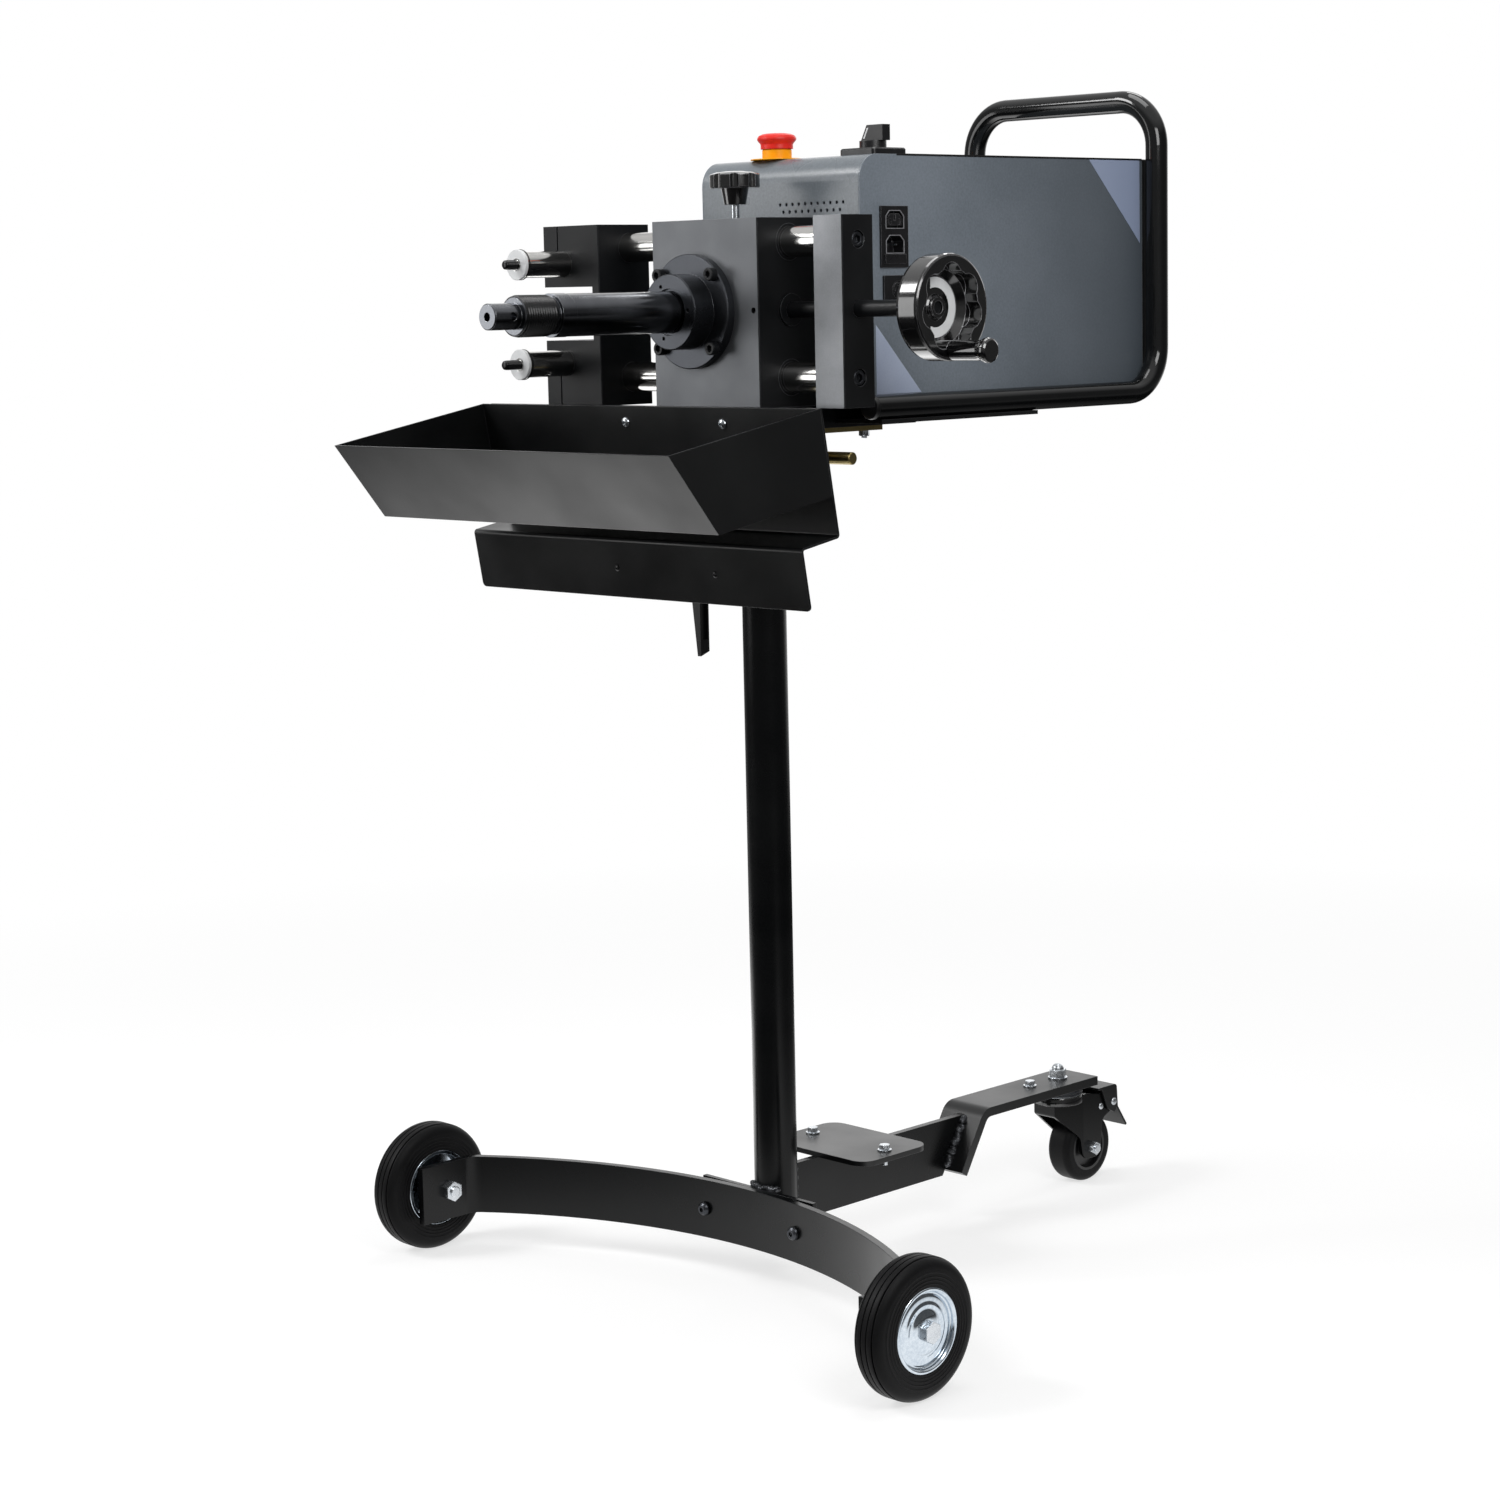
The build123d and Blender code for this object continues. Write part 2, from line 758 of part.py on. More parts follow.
def caster_fork():
    """Swivelling half: a crown over one bent sheet, whose sides trail down to the caster's axle."""
    crown_top = bracket_bottom - race_height - free_gap
    crown_bottom = crown_top - crown_height
    inner = caster_width / 2 + fork_side_gap
    half = inner + fork_plate
    nose = half - fork_taper
    axle_z = caster_diameter / 2
    eye = 1.5 * caster_axle_diameter
    bend = caster_y - eye
    front = stem_y - race_diameter / 2 + 3
    rear = pedal_hinge_y + 7
    plate_top = crown_top - 3
    corners = [(front, plate_top), (front, plate_top - fork_skirt), (caster_y - 1.3 * eye, axle_z + eye)]
    corners += [(caster_y - eye, axle_z - eye * 0.8), (caster_y + eye, axle_z - eye * 0.8)]
    corners += [(caster_y + 1.2 * eye, axle_z + 2 * eye), (rear, pedal_hinge_height - 8)]
    corners += [(rear, pedal_hinge_height + 9), (stem_y + race_diameter / 2, plate_top)]
    outline = make_face(FilletPolyline(*corners, radius=[2, 4, 12, 11, 11, 12, 6, 6, 4], close=True))
    fork = rod((0, stem_y, crown_bottom), UP, crown_height, race_diameter)
    plan = [(nose, front), (half, bend), (half, rear), (-half, rear), (-half, bend), (-nose, front)]
    space = [(nose - fork_plate, front + fork_plate), (inner, bend), (inner, rear + 1), (-inner, rear + 1)]
    space += [(-inner, bend), (fork_plate - nose, front + fork_plate)]
    sheet_plan = make_face(Polyline(*plan, close=True)) - make_face(Polyline(*space, close=True))
    fork += extrude(sheet_plan, plate_top) & along_x(outline, -half, half)
    fork -= rod((0, stem_y, 0), UP, bracket_bottom, stem_diameter + 2 * running_fit)
    hole_start = (-bracket_width, caster_y, axle_z)
    fork -= rod(hole_start, RIGHT, 2 * bracket_width, caster_axle_diameter + 2 * seat_gap)
    hinge_start = (-bracket_width, pedal_hinge_y, pedal_hinge_height)
    return fork - rod(hinge_start, RIGHT, 2 * bracket_width, small_bolt_diameter + 2 * running_fit)


def caster_axle():
    """Axle bolt of the caster, with a head on one side of the fork and a nut on the other."""
    outer = caster_width / 2 + fork_side_gap + fork_plate + seat_gap
    start = (-outer - caster_nut_height, caster_y, caster_diameter / 2)
    axle = rod(start, RIGHT, 2 * (outer + caster_nut_height), caster_axle_diameter)
    for side in (-1, 1):
        nut_start = (side * outer, caster_y, caster_diameter / 2)
        axle += hexagon(nut_start, (side, 0, 0), caster_nut_height, caster_axle_hex)
    return axle


def caster_tyre():
    """Tread of the caster wheel with rounded shoulders."""
    seat = caster_hub_diameter / 2 + seat_gap
    outer = caster_diameter / 2
    section = Pos((seat + outer) / 2, 0) * Rectangle(outer - seat, caster_width)
    section = fillet(section.vertices().group_by(Axis.X)[-1], 7)
    ring = revolve(Plane.XZ * section, Axis.Z)
    return Plane(origin=(0, caster_y, outer), z_dir=RIGHT) * ring


def caster_hub():
    """Moulded hub of the caster wheel, hollowed on both sides."""
    seat = caster_hub_diameter / 2
    half = caster_width / 2
    bore = caster_axle_diameter / 2 + running_fit
    face = [(seat, half), (seat - 3, half), (seat - 5, half - 6), (bore + 7, half - 6)]
    face += [(bore + 6, half), (bore, half)]
    back = [(radius, -distance) for radius, distance in reversed(face)]
    return turned(face + back, (0, caster_y, caster_diameter / 2), RIGHT)


def caster_pedal():
    """Brake pedal: a bent plate with a wing and a toe, on two ears outside the fork."""
    inner = caster_width / 2 + fork_side_gap + fork_plate + pedal_ear_gap
    outer = inner + pedal_sheet
    heel = (pedal_hinge_y + 12, pedal_hinge_height - 6)
    brow = (pedal_hinge_y + 10, pedal_wing_height)
    face = [(pedal_wing_front, pedal_wing_height), brow, heel, (pedal_toe_y, pedal_toe_height)]
    sheet_outline = bent_strip(face[::-1], pedal_sheet, 2)
    pedal = along_x(sheet_outline, -outer, outer)
    ear_top = pedal_wing_height - 1
    ear_corners = [(pedal_wing_front + 6, ear_top), (pedal_hinge_y + 8, ear_top)]
    ear_corners += [(heel[0] - 1, heel[1]), (heel[0] - 6, heel[1] - 6)]
    ear_corners.append((pedal_hinge_y - 6, pedal_hinge_height - 6))
    ear = Polygon(*ear_corners)
    for side in (-1, 1):
        low, high = sorted((side * inner, side * outer))
        pedal += along_x(ear, low, high)
        pin_end = inner - pedal_ear_gap - fork_plate
        start = (side * outer, pedal_hinge_y, pedal_hinge_height)
        pedal += rod(start, (-side, 0, 0), outer - pin_end, small_bolt_diameter)
    return pedal


# Mast top


def clamp_lever():
    """Clamp lever: a screw that presses on the inner post, a hub and a tapered handle with a recess."""
    screw_tip = inner_post_radius + free_gap
    lever = rod((-screw_tip, 0, clamp_height), LEFT, lever_hub_start - screw_tip, clamp_screw_diameter)
    lever += rod((-lever_hub_start, 0, clamp_height), LEFT, lever_hub_length, lever_hub_diameter)
    half = lever_width / 2
    bottom = clamp_height - lever_length
    inner = -lever_hub_start - lever_setback
    root = inner - lever_root_thickness
    tip = inner - lever_tip_thickness
    front_view = Polygon((inner, clamp_height), (inner, bottom), (tip, bottom), (root, clamp_height))
    handle = Pos(0, half, 0) * extrude(Plane.XZ * front_view, lever_width, dir=FRONT)
    corners = [(-half, bottom), (half, bottom + lever_bevel), (half, clamp_height), (-half, clamp_height)]
    handle &= along_x(Polygon(*corners), root, inner)
    recess_half = half - lever_recess_wall
    recess_z = (bottom + lever_foot, clamp_height - lever_hub_diameter / 2)
    handle -= box_between((inner - lever_recess, inner + 1), (-recess_half, recess_half), recess_z)
    return lever + handle


def inner_post():
    """Post that slides in the mast, with a stop ring that rests on the mast collar."""
    radius = inner_post_radius
    bore = radius - post_wall
    ring = post_ring_diameter / 2
    ring_bottom = collar_top + seat_gap
    ring_top = ring_bottom + post_ring_height
    profile = [(bore, post_bottom), (radius, post_bottom), (radius, ring_bottom), (ring, ring_bottom)]
    profile += [(ring, ring_top), (radius, ring_top), (radius, post_top), (bore, post_top)]
    return turned(profile, (0, 0, 0), UP)


def swivel_yoke():
    """Cap that turns on top of the post and carries the pivot pin in a cross boss."""
    bore = inner_post_radius + running_fit
    radius = bore + yoke_wall
    bottom = collar_top + seat_gap + post_ring_height + seat_gap
    roof = post_top + seat_gap
    top = roof + yoke_cap
    profile = [(bore, bottom), (radius, bottom), (radius, top), (0, top), (0, roof), (bore, roof)]
    yoke = turned(profile, (0, 0, 0), UP)
    neck = pivot_boss_diameter / 2 - 1
    yoke += box_between((-radius, radius), (-neck, neck), (roof + 1, pivot_height))
    half = pivot_boss_length / 2
    yoke += rod((-half, 0, pivot_height), RIGHT, pivot_boss_length, pivot_boss_diameter)
    bored = rod((-2 * half, 0, pivot_height), RIGHT, 4 * half, pin_diameter + 2 * seat_gap)
    return yoke - bored


def pivot_pin():
    """Long pin that the head tilts on."""
    pin = rod((-pin_left, 0, pivot_height), RIGHT, pin_left + pin_right, pin_diameter)
    return chamfer(pin.edges().filter_by(GeomType.CIRCLE), 1)


# Plates under the head and the tube frame


def pivot_bracket():
    """Plate under the head with two ears that turn on the pivot pin."""
    plate_bottom = mounting_bottom - pivot_plate_thickness
    x_range = (block_left, block_right)
    bracket = box_between(x_range, (pivot_plate_front, pivot_plate_rear), (plate_bottom, mounting_bottom))
    half = ear_width / 2
    low = pivot_height - half * 0.9
    corners = [(-half, plate_bottom), (-half, low), (half, low), (half, plate_bottom)]
    ear = make_face(FilletPolyline(*corners, radius=[0, half * 0.8, half * 0.8, 0], close=True))
    ear_inner = pivot_boss_length / 2 + ear_gap
    for side in (-1, 1):
        near, far = sorted((side * ear_inner, side * (ear_inner + ear_thickness)))
        bracket += along_x(ear, near, far)
    hole_start = (-2 * ear_inner, 0, pivot_height)
    return bracket - rod(hole_start, RIGHT, 4 * ear_inner, pin_diameter + 2 * running_fit)


def mounting_plate():
    """Thick plate that the head block stands on."""
    y_range = (mounting_front, mounting_rear)
    return box_between((block_left, block_right), y_range, (mounting_bottom, head_bottom))


def base_plate():
    """Thin plate under the rails, notched round the mounting plate."""
    half = base_width / 2
    plate = box_between((-half, half), (base_front, base_rear), (base_bottom, base_bottom + base_thickness))
    notch_x = (block_left - seat_gap, block_right + seat_gap)
    notch_y = (base_front - base_thickness, mounting_rear + seat_gap)
    return plate - box_between(notch_x, notch_y, (base_bottom - 1, base_bottom + base_thickness + 1))


def rail_frame():
    """Tube bent into two rails beside the housing and a handle hoop behind it."""
    half = rail_spacing / 2
    corners = [(-half, rail_front, rail_height), (-half, hoop_y, rail_height), (-half, hoop_y, hoop_height)]
    corners += [(-x, y, z) for x, y, z in reversed(corners)]
    path = FilletPolyline(*corners, radius=tube_bend_radius)
    section = Circle(tube_diameter / 2) - Circle(tube_diameter / 2 - tube_wall)
    return sweep((path ^ 0) * section, path)


def tray_bracket():
    """Wedge bar on the mounting plate that the leaning apron and tray are screwed to."""
    lean = radians(tray_angle)
    back = seat_gap + apron_sheet + seat_gap
    corners = []
    for height in (head_bottom - seat_gap, mounting_bottom):
        down = (tray_rim_height + back * sin(lean) - height) / cos(lean)
        corners.append(tray_point(-back, down))
    corners += [(mounting_front, mounting_bottom), (mounting_front, head_bottom - seat_gap)]
    return along_x(Polygon(*corners), tray_bracket_left, tray_bracket_right)


def chip_tray():
    """Open sheet tray with a raked front, leaning with the apron."""
    rake = tray_front_rake / tray_height
    wall = tray_sheet * sqrt(1 + rake**2)
    floor_front = tray_depth - tray_front_rake
    spare = tray_height / 4
    outer = [(0, 0), (tray_depth, 0), (floor_front, tray_height), (0, tray_height)]
    inner_floor = tray_height - tray_sheet
    inner = [(tray_sheet, -spare), (tray_depth - wall + spare * rake, -spare)]
    inner += [(tray_depth - wall - inner_floor * rake, inner_floor), (tray_sheet, inner_floor)]
    tray = along_x(Polygon(*[tray_point(*corner) for corner in outer]), tray_left, tray_right)
    hollow = Polygon(*[tray_point(*corner) for corner in inner])
    return tray - along_x(hollow, tray_left + tray_sheet, tray_right - tray_sheet)


def apron():
    """Folded sheet behind and below the tray: back, flange and a lip with rounded lower corners."""
    fold = [(-seat_gap, 0), (-seat_gap, apron_back), (apron_flange, apron_back)]
    fold.append((apron_flange, apron_back + apron_lip))
    strip = bent_strip([tray_point(*corner) for corner in fold], apron_sheet, apron_sheet)
    folded = along_x(strip, apron_left, tray_right)
    lip_low = tray_point(apron_flange, apron_back + apron_lip)[1] + apron_sheet
    corners = folded.edges().filter_by(lambda edge: edge.center().Z < lip_low)
    corners = corners.filter_by(lambda edge: abs(edge.length - apron_sheet) < 0.01)
    return fillet(corners, apron_corner)


# Housing


def housing_wrap():
    """Front and top of the housing, bent from one sheet, with vents and openings for drive and controls."""
    rear = housing_rear - rear_sheet
    face = [(rear, housing_top), (housing_front, housing_top), (housing_front, head_bottom)]
    strip = bent_strip(face, sheet, housing_bend - sheet)
    wrap = along_x(strip, housing_left + sheet, housing_right - sheet)
    drive_start = (spindle_x, block_rear, spindle_height)
    wrap -= rod(drive_start, REAR, housing_bend, front_opening_diameter)
    below = housing_top - housing_bend
    wrap -= rod((estop_x, estop_y, below), UP, 2 * housing_bend, estop_thread_diameter)
    wrap -= rod((switch_x, switch_y, below), UP, 2 * housing_bend, switch_neck_diameter)
    vents = Part()
    for row in range(2):
        for column in range(vent_columns - row):
            x = vent_left + (column + row / 2) * vent_pitch
            z = vent_upper_height - row * vent_row_gap
            vents += rod((x, housing_front - sheet, z), REAR, 3 * sheet, vent_diameter)
    return wrap - vents


def side_panel(x_low, x_high):
    """Flat side of the housing with the front corner rounded like the wrap."""
    corners = [(housing_front, panel_bottom), (housing_rear, panel_bottom)]
    corners += [(housing_rear, housing_top), (housing_front, housing_top)]
    outline = make_face(FilletPolyline(*corners, radius=[0, 0, 0, housing_bend], close=True))
    return along_x(outline, x_low, x_high)


def side_panel_left():
    return side_panel(housing_left, housing_left + sheet)


def module_cutout():
    """Space of the power module's body behind its flange."""
    half = module_width / 2 - module_body_inset
    z_low = module_bottom + module_body_inset
    z_high = module_bottom + module_height - module_body_inset
    return (module_y - half, module_y + half), (z_low, z_high)


def side_panel_right():
    """Right side of the housing, cut out for the power module and the signal socket."""
    panel = side_panel(housing_right - sheet, housing_right)
    y_range, z_range = module_cutout()
    panel -= box_between((housing_right - 2 * sheet, housing_right + sheet), y_range, z_range)
    start = (housing_right - 2 * sheet, socket_y, socket_height)
    return panel - rod(start, RIGHT, 4 * sheet, socket_face_diameter)


def rear_panel():
    """Back of the housing."""
    x_range = (housing_left + sheet, housing_right - sheet)
    return box_between(x_range, (housing_rear - rear_sheet, housing_rear), (head_bottom, housing_top))


def housing_floor():
    """Floor pan of the housing with upturned edges, on stand-offs over the base plate."""
    x_range = (housing_left + sheet, housing_right - sheet)
    y_range = (housing_front + sheet, housing_rear - rear_sheet)
    pan = box_between(x_range, y_range, (head_bottom, head_bottom + floor_flange))
    hollow_x = (x_range[0] + rear_sheet, x_range[1] - rear_sheet)
    hollow_y = (y_range[0] - 1, y_range[1] + 1)
    pan -= box_between(hollow_x, hollow_y, (head_bottom + rear_sheet, head_bottom + 2 * floor_flange))
    foot = base_bottom + base_thickness
    for x in (x_range[0] + standoff_inset, x_range[1] - standoff_inset):
        for y in standoff_y:
            pan += rod((x, y, foot), UP, head_bottom + rear_sheet - foot, standoff_diameter)
    return pan


# Head block and spindle


def head_block():
    """Machined block bored for the bearings, the guide rod bushes, the lead screw and the lock stud."""
    block = box_between((block_left, block_right), (block_front, block_rear), (head_bottom, head_top))
    block = chamfer(block.edges().filter_by(Axis.Z), 0.8)
    depth = block_rear - block_front
    width = block_right - block_left
    start = (spindle_x, block_front - depth, spindle_height)
    block -= rod(start, REAR, 3 * depth, bearing_diameter)
    for height in rod_heights:
        block -= rod((block_left - width, rod_y, height), RIGHT, 3 * width, rod_diameter + 2 * bush_wall)
    screw_start = (screw_inner_end - screw_collar_length, rod_y, spindle_height)
    block -= rod(screw_start, RIGHT, width, screw_bush_diameter)
    block -= rod((0, rod_y, rod_heights[1]), UP, depth, knob_stud_diameter + 2 * running_fit)
    set_start = (set_screw_x, rod_y, spindle_height)
    return block - rod(set_start, FRONT, depth, set_screw_diameter)


def spindle():
    """Turned spindle: drive end, journal, collar, threaded end and a nose with a cross hole."""
    journal = spindle_diameter / 2
    thread = thread_diameter / 2
    relief = thread_relief_diameter / 2
    nose = nose_diameter / 2
    hole = nose_hole_diameter / 2
    drive = drive_end_diameter / 2
    rear = block_front - block_rear
    collar = spindle_collar_diameter / 2
    tail = rear - drive_end_length
    profile = [(0, tail), (drive, tail), (drive, rear), (journal, rear), (journal, spindle_collar_start)]
    profile += [(collar, spindle_collar_start + 0.4), (collar, collar_end - 0.4), (relief, collar_end)]
    profile += [(relief, thread_start), (thread, thread_start + 1), (thread, thread_end - 1.5)]
    profile += [(thread - 1.5, thread_end), (nose, thread_end), (nose, nose_reach - 1)]
    hole_end = nose_reach - nose_hole_depth
    profile += [(nose - 1, nose_reach), (hole, nose_reach), (hole, hole_end), (0, hole_end - hole)]
    shaft = turned(profile, (spindle_x, block_front, spindle_height), FRONT)
    hole_start = (spindle_x - nose_diameter, block_front - cross_hole_reach, spindle_height)
    return shaft - rod(hole_start, RIGHT, 2 * nose_diameter, cross_hole_diameter)


def spindle_bearings():
    """Two bearings in the head block, one behind each end of its bore."""
    outer = bearing_diameter / 2 - seat_gap / 2
    bore = spindle_diameter / 2 + running_fit
    ring = [(bore, 0), (outer, 0), (outer, bearing_width), (bore, bearing_width)]
    front = turned(ring, (spindle_x, block_front, spindle_height), REAR)
    return front + turned(ring, (spindle_x, block_rear, spindle_height), FRONT)


def bearing_flange():
    """Front cover of the bearings: a flange, a boss with pin holes and a seal recess round the shaft."""
    outer = flange_diameter / 2
    boss = boss_diameter / 2
    seal = seal_diameter / 2
    bore = spindle_diameter / 2 + free_gap
    profile = [(bore, 0), (outer, 0), (outer, flange_thickness - 1), (outer - 1, flange_thickness)]
    profile += [(boss, flange_thickness), (boss, boss_reach - 1), (boss - 1, boss_reach)]
    profile += [(seal, boss_reach), (seal, boss_reach - seal_depth), (bore, boss_reach - seal_depth)]
    flange = turned(profile, (spindle_x, block_front, spindle_height), FRONT)
    for angle in pin_hole_angles:
        x = spindle_x + pin_hole_circle / 2 * cos(radians(angle))
        z = spindle_height + pin_hole_circle / 2 * sin(radians(angle))
        flange -= rod((x, block_front - boss_reach, z), REAR, pin_hole_depth, pin_hole_diameter)
    return flange


def bushes():
    """Four guide rod bushes and the lead screw bush, pressed into the head block."""
    bore = rod_diameter / 2 + running_fit
    outer = rod_diameter / 2 + bush_wall - seat_gap / 2
    ring = [(bore, 0), (outer, 0), (outer, bush_length), (bore, bush_length)]
    group = Part()
    for height in rod_heights:
        group += turned(ring, (block_left, rod_y, height), RIGHT)
        group += turned(ring, (block_right, rod_y, height), LEFT)
    bush_start = screw_inner_end + screw_collar_length + seat_gap
    length = block_right + screw_bush_proud - bush_start
    screw_bore = screw_diameter / 2 + running_fit
    screw_outer = screw_bush_diameter / 2 - seat_gap / 2
    screw_ring = [(screw_bore, 0), (screw_outer, 0), (screw_outer, length), (screw_bore, length)]
    return group + turned(screw_ring, (bush_start, rod_y, spindle_height), RIGHT)


def gear_motor():
    """Closed gear motor behind the block: gearbox with a hollow shaft, motor, foot and terminal box."""
    front = housing_front + sheet
    rear = front + gearbox_depth
    x_range = (spindle_x - gearbox_width / 2, spindle_x + gearbox_width / 2)
    z_range = (spindle_height - gearbox_height / 2, spindle_height + gearbox_height / 2)
    unit = box_between(x_range, (front, rear), z_range)
    unit = fillet(unit.edges().filter_by(Axis.Y), 12)
    unit += rod((spindle_x, rear, spindle_height), REAR, motor_length, motor_diameter)
    foot_x = (spindle_x - motor_foot_width / 2, spindle_x + motor_foot_width / 2)
    motor_middle = rear + motor_length / 2
    foot_y = (motor_middle - motor_foot_length / 2, motor_middle + motor_foot_length / 2)
    unit += box_between(foot_x, foot_y, (head_bottom + rear_sheet, spindle_height - motor_diameter / 4))
    box_x = (spindle_x - terminal_width / 2, spindle_x + terminal_width / 2)
    box_y = (rear + motor_foot_length / 4, rear + motor_foot_length / 4 + terminal_length)
    box_top = spindle_height + motor_diameter / 2 + terminal_height
    unit += box_between(box_x, box_y, (spindle_height + motor_diameter / 4, box_top))
    bore_start = (spindle_x, block_rear, spindle_height)
    bore_length = drive_end_length + free_gap
    return unit - rod(bore_start, REAR, bore_length, drive_end_diameter + 2 * running_fit)


# Slide


def guide_rods():
    """Two ground rods that tie the tool block to the end plate."""
    rods = Part()
    for height in rod_heights:
        rods += rod((rod_left, rod_y, height), RIGHT, plate_reach - rod_left, rod_diameter)
    return rods


def end_plate():
    """Plate that clamps the rods' right ends and holds the lead nut."""
    plate = box_between((plate_left, plate_right), (plate_front, plate_rear), (head_bottom, head_top))
    plate = chamfer(plate.edges().filter_by(Axis.Z), 0.8)
    width = plate_right - plate_left
    for height in rod_heights:
        plate -= rod((plate_reach, rod_y, height), LEFT, width, rod_diameter + seat_gap)
        plate -= rod((plate_reach, rod_y, height), RIGHT, width, rod_screw_diameter)
        plate -= rod((plate_right - counterbore_depth, rod_y, height), RIGHT, width, counterbore_diameter)
    nut_end = plate_left + nut_length
    plate -= rod((nut_end, rod_y, spindle_height), LEFT, width, nut_diameter + seat_gap)
    return plate - rod((nut_end, rod_y, spindle_height), RIGHT, width, screw_diameter + 2 * free_gap)


def lead_nut():
    """Bronze nut of the lead screw, pressed into the end plate."""
    bore = screw_diameter / 2 + running_fit
    outer = nut_diameter / 2
    ring = [(bore, 0), (outer, 0), (outer, nut_length), (bore, nut_length)]
    return turned(ring, (plate_left, rod_y, spindle_height), RIGHT)


def tool_block():
    """C-shaped block with a throat for the disc, two post bores and a clamp slit to each of them."""
    block = box_between((tool_left, tool_right), (tool_front, tool_rear), (head_bottom, head_top))
    block = chamfer(block.edges().filter_by(Axis.Z), 0.8)
    depth = tool_rear - tool_front
    width = tool_right - tool_left
    cut_y = (tool_front - depth, tool_rear + depth)
    block -= box_between((tool_left - width, throat_end), cut_y, (throat_bottom, throat_top))
    for height in post_heights:
        start = (tool_post_x, tool_front - depth, height)
        block -= rod(start, REAR, 3 * depth, tool_post_diameter + 2 * running_fit)
    slit = (slit_x - slit_width / 2, slit_x + slit_width / 2)
    block -= box_between(slit, cut_y, (post_heights[1], head_top + depth))
    block -= box_between(slit, cut_y, (head_bottom - depth, post_heights[0]))
    for height in rod_heights:
        block -= rod((rod_left, rod_y, height), RIGHT, width, rod_diameter + seat_gap)
    return block


def tool_post(height, stud_reach):
    """Ground post that slides in the tool block, with an end disc and a stud for the tool holder."""
    shaft = tool_post_diameter / 2
    disc = tool_disc_diameter / 2
    recess = tool_recess_diameter / 2
    root = stud_root_diameter / 2
    stud = stud_diameter / 2
    tail = tool_front - tool_rear - tool_post_tail
    disc_rear = tool_post_reach - tool_disc_thickness
    profile = [(0, tail), (shaft, tail), (shaft, disc_rear), (disc, disc_rear)]
    profile += [(disc, tool_post_reach - 0.6), (disc - 0.6, tool_post_reach), (recess, tool_post_reach)]
    profile += [(recess, tool_post_reach - tool_recess_depth), (root, tool_post_reach - tool_recess_depth)]
    profile += [(root, tool_post_reach), (stud, tool_post_reach), (stud, stud_reach - 1)]
    profile += [(stud - 1, stud_reach), (0, stud_reach)]
    return turned(profile, (tool_post_x, tool_front, height), FRONT)


def lock_knob():
    """Star knob with rounded notches on a stud that bears on the upper guide rod."""
    hub_bottom = head_top + knob_stand
    head_bottom_z = hub_bottom + knob_hub_height
    stud_bottom = rod_heights[1] + rod_diameter / 2 + free_gap
    knob = rod((0, rod_y, stud_bottom), UP, head_bottom_z - stud_bottom, knob_stud_diameter)
    hub_wall = knob_hub_diameter / 2
    hub = [(0, 0), (hub_wall - 3, 0), (hub_wall, knob_hub_height), (0, knob_hub_height)]
    knob += turned(hub, (0, rod_y, hub_bottom), UP)
    star = Circle(knob_head_diameter / 2)
    star -= PolarLocations(knob_head_diameter / 2 + 1, knob_lobes) * Circle(knob_notch_diameter / 2)
    wall = knob_head_diameter / 2
    edge = knob_head_height - knob_crown
    dome = [(0, 0), (wall - 1, 0), (wall, 1), (wall, edge - 0.8), (wall - 1, edge)]
    dome += [(wall * 0.72, edge + knob_crown * 0.6), (wall * 0.4, edge + knob_crown * 0.9)]
    dome.append((0, knob_head_height))
    head = extrude(star, knob_head_height) & turned(dome, (0, 0, 0), UP)
    return knob + Pos(0, rod_y, head_bottom_z) * head


def lead_screw():
    """Lead screw: a collar inside the block, the threaded length and a stub in the handwheel's hub."""
    radius = screw_diameter / 2
    collar = screw_collar_diameter / 2
    stub = screw_stub_diameter / 2
    shoulder = handwheel_back - hub_boss_length - screw_inner_end
    end = handwheel_back + handwheel_face + hub_cap_height / 3 - screw_inner_end
    profile = [(0, 0), (collar, 0), (collar, screw_collar_length), (radius, screw_collar_length)]
    profile += [(radius, shoulder), (stub, shoulder), (stub, end), (0, end)]
    return turned(profile, (screw_inner_end, rod_y, spindle_height), RIGHT)


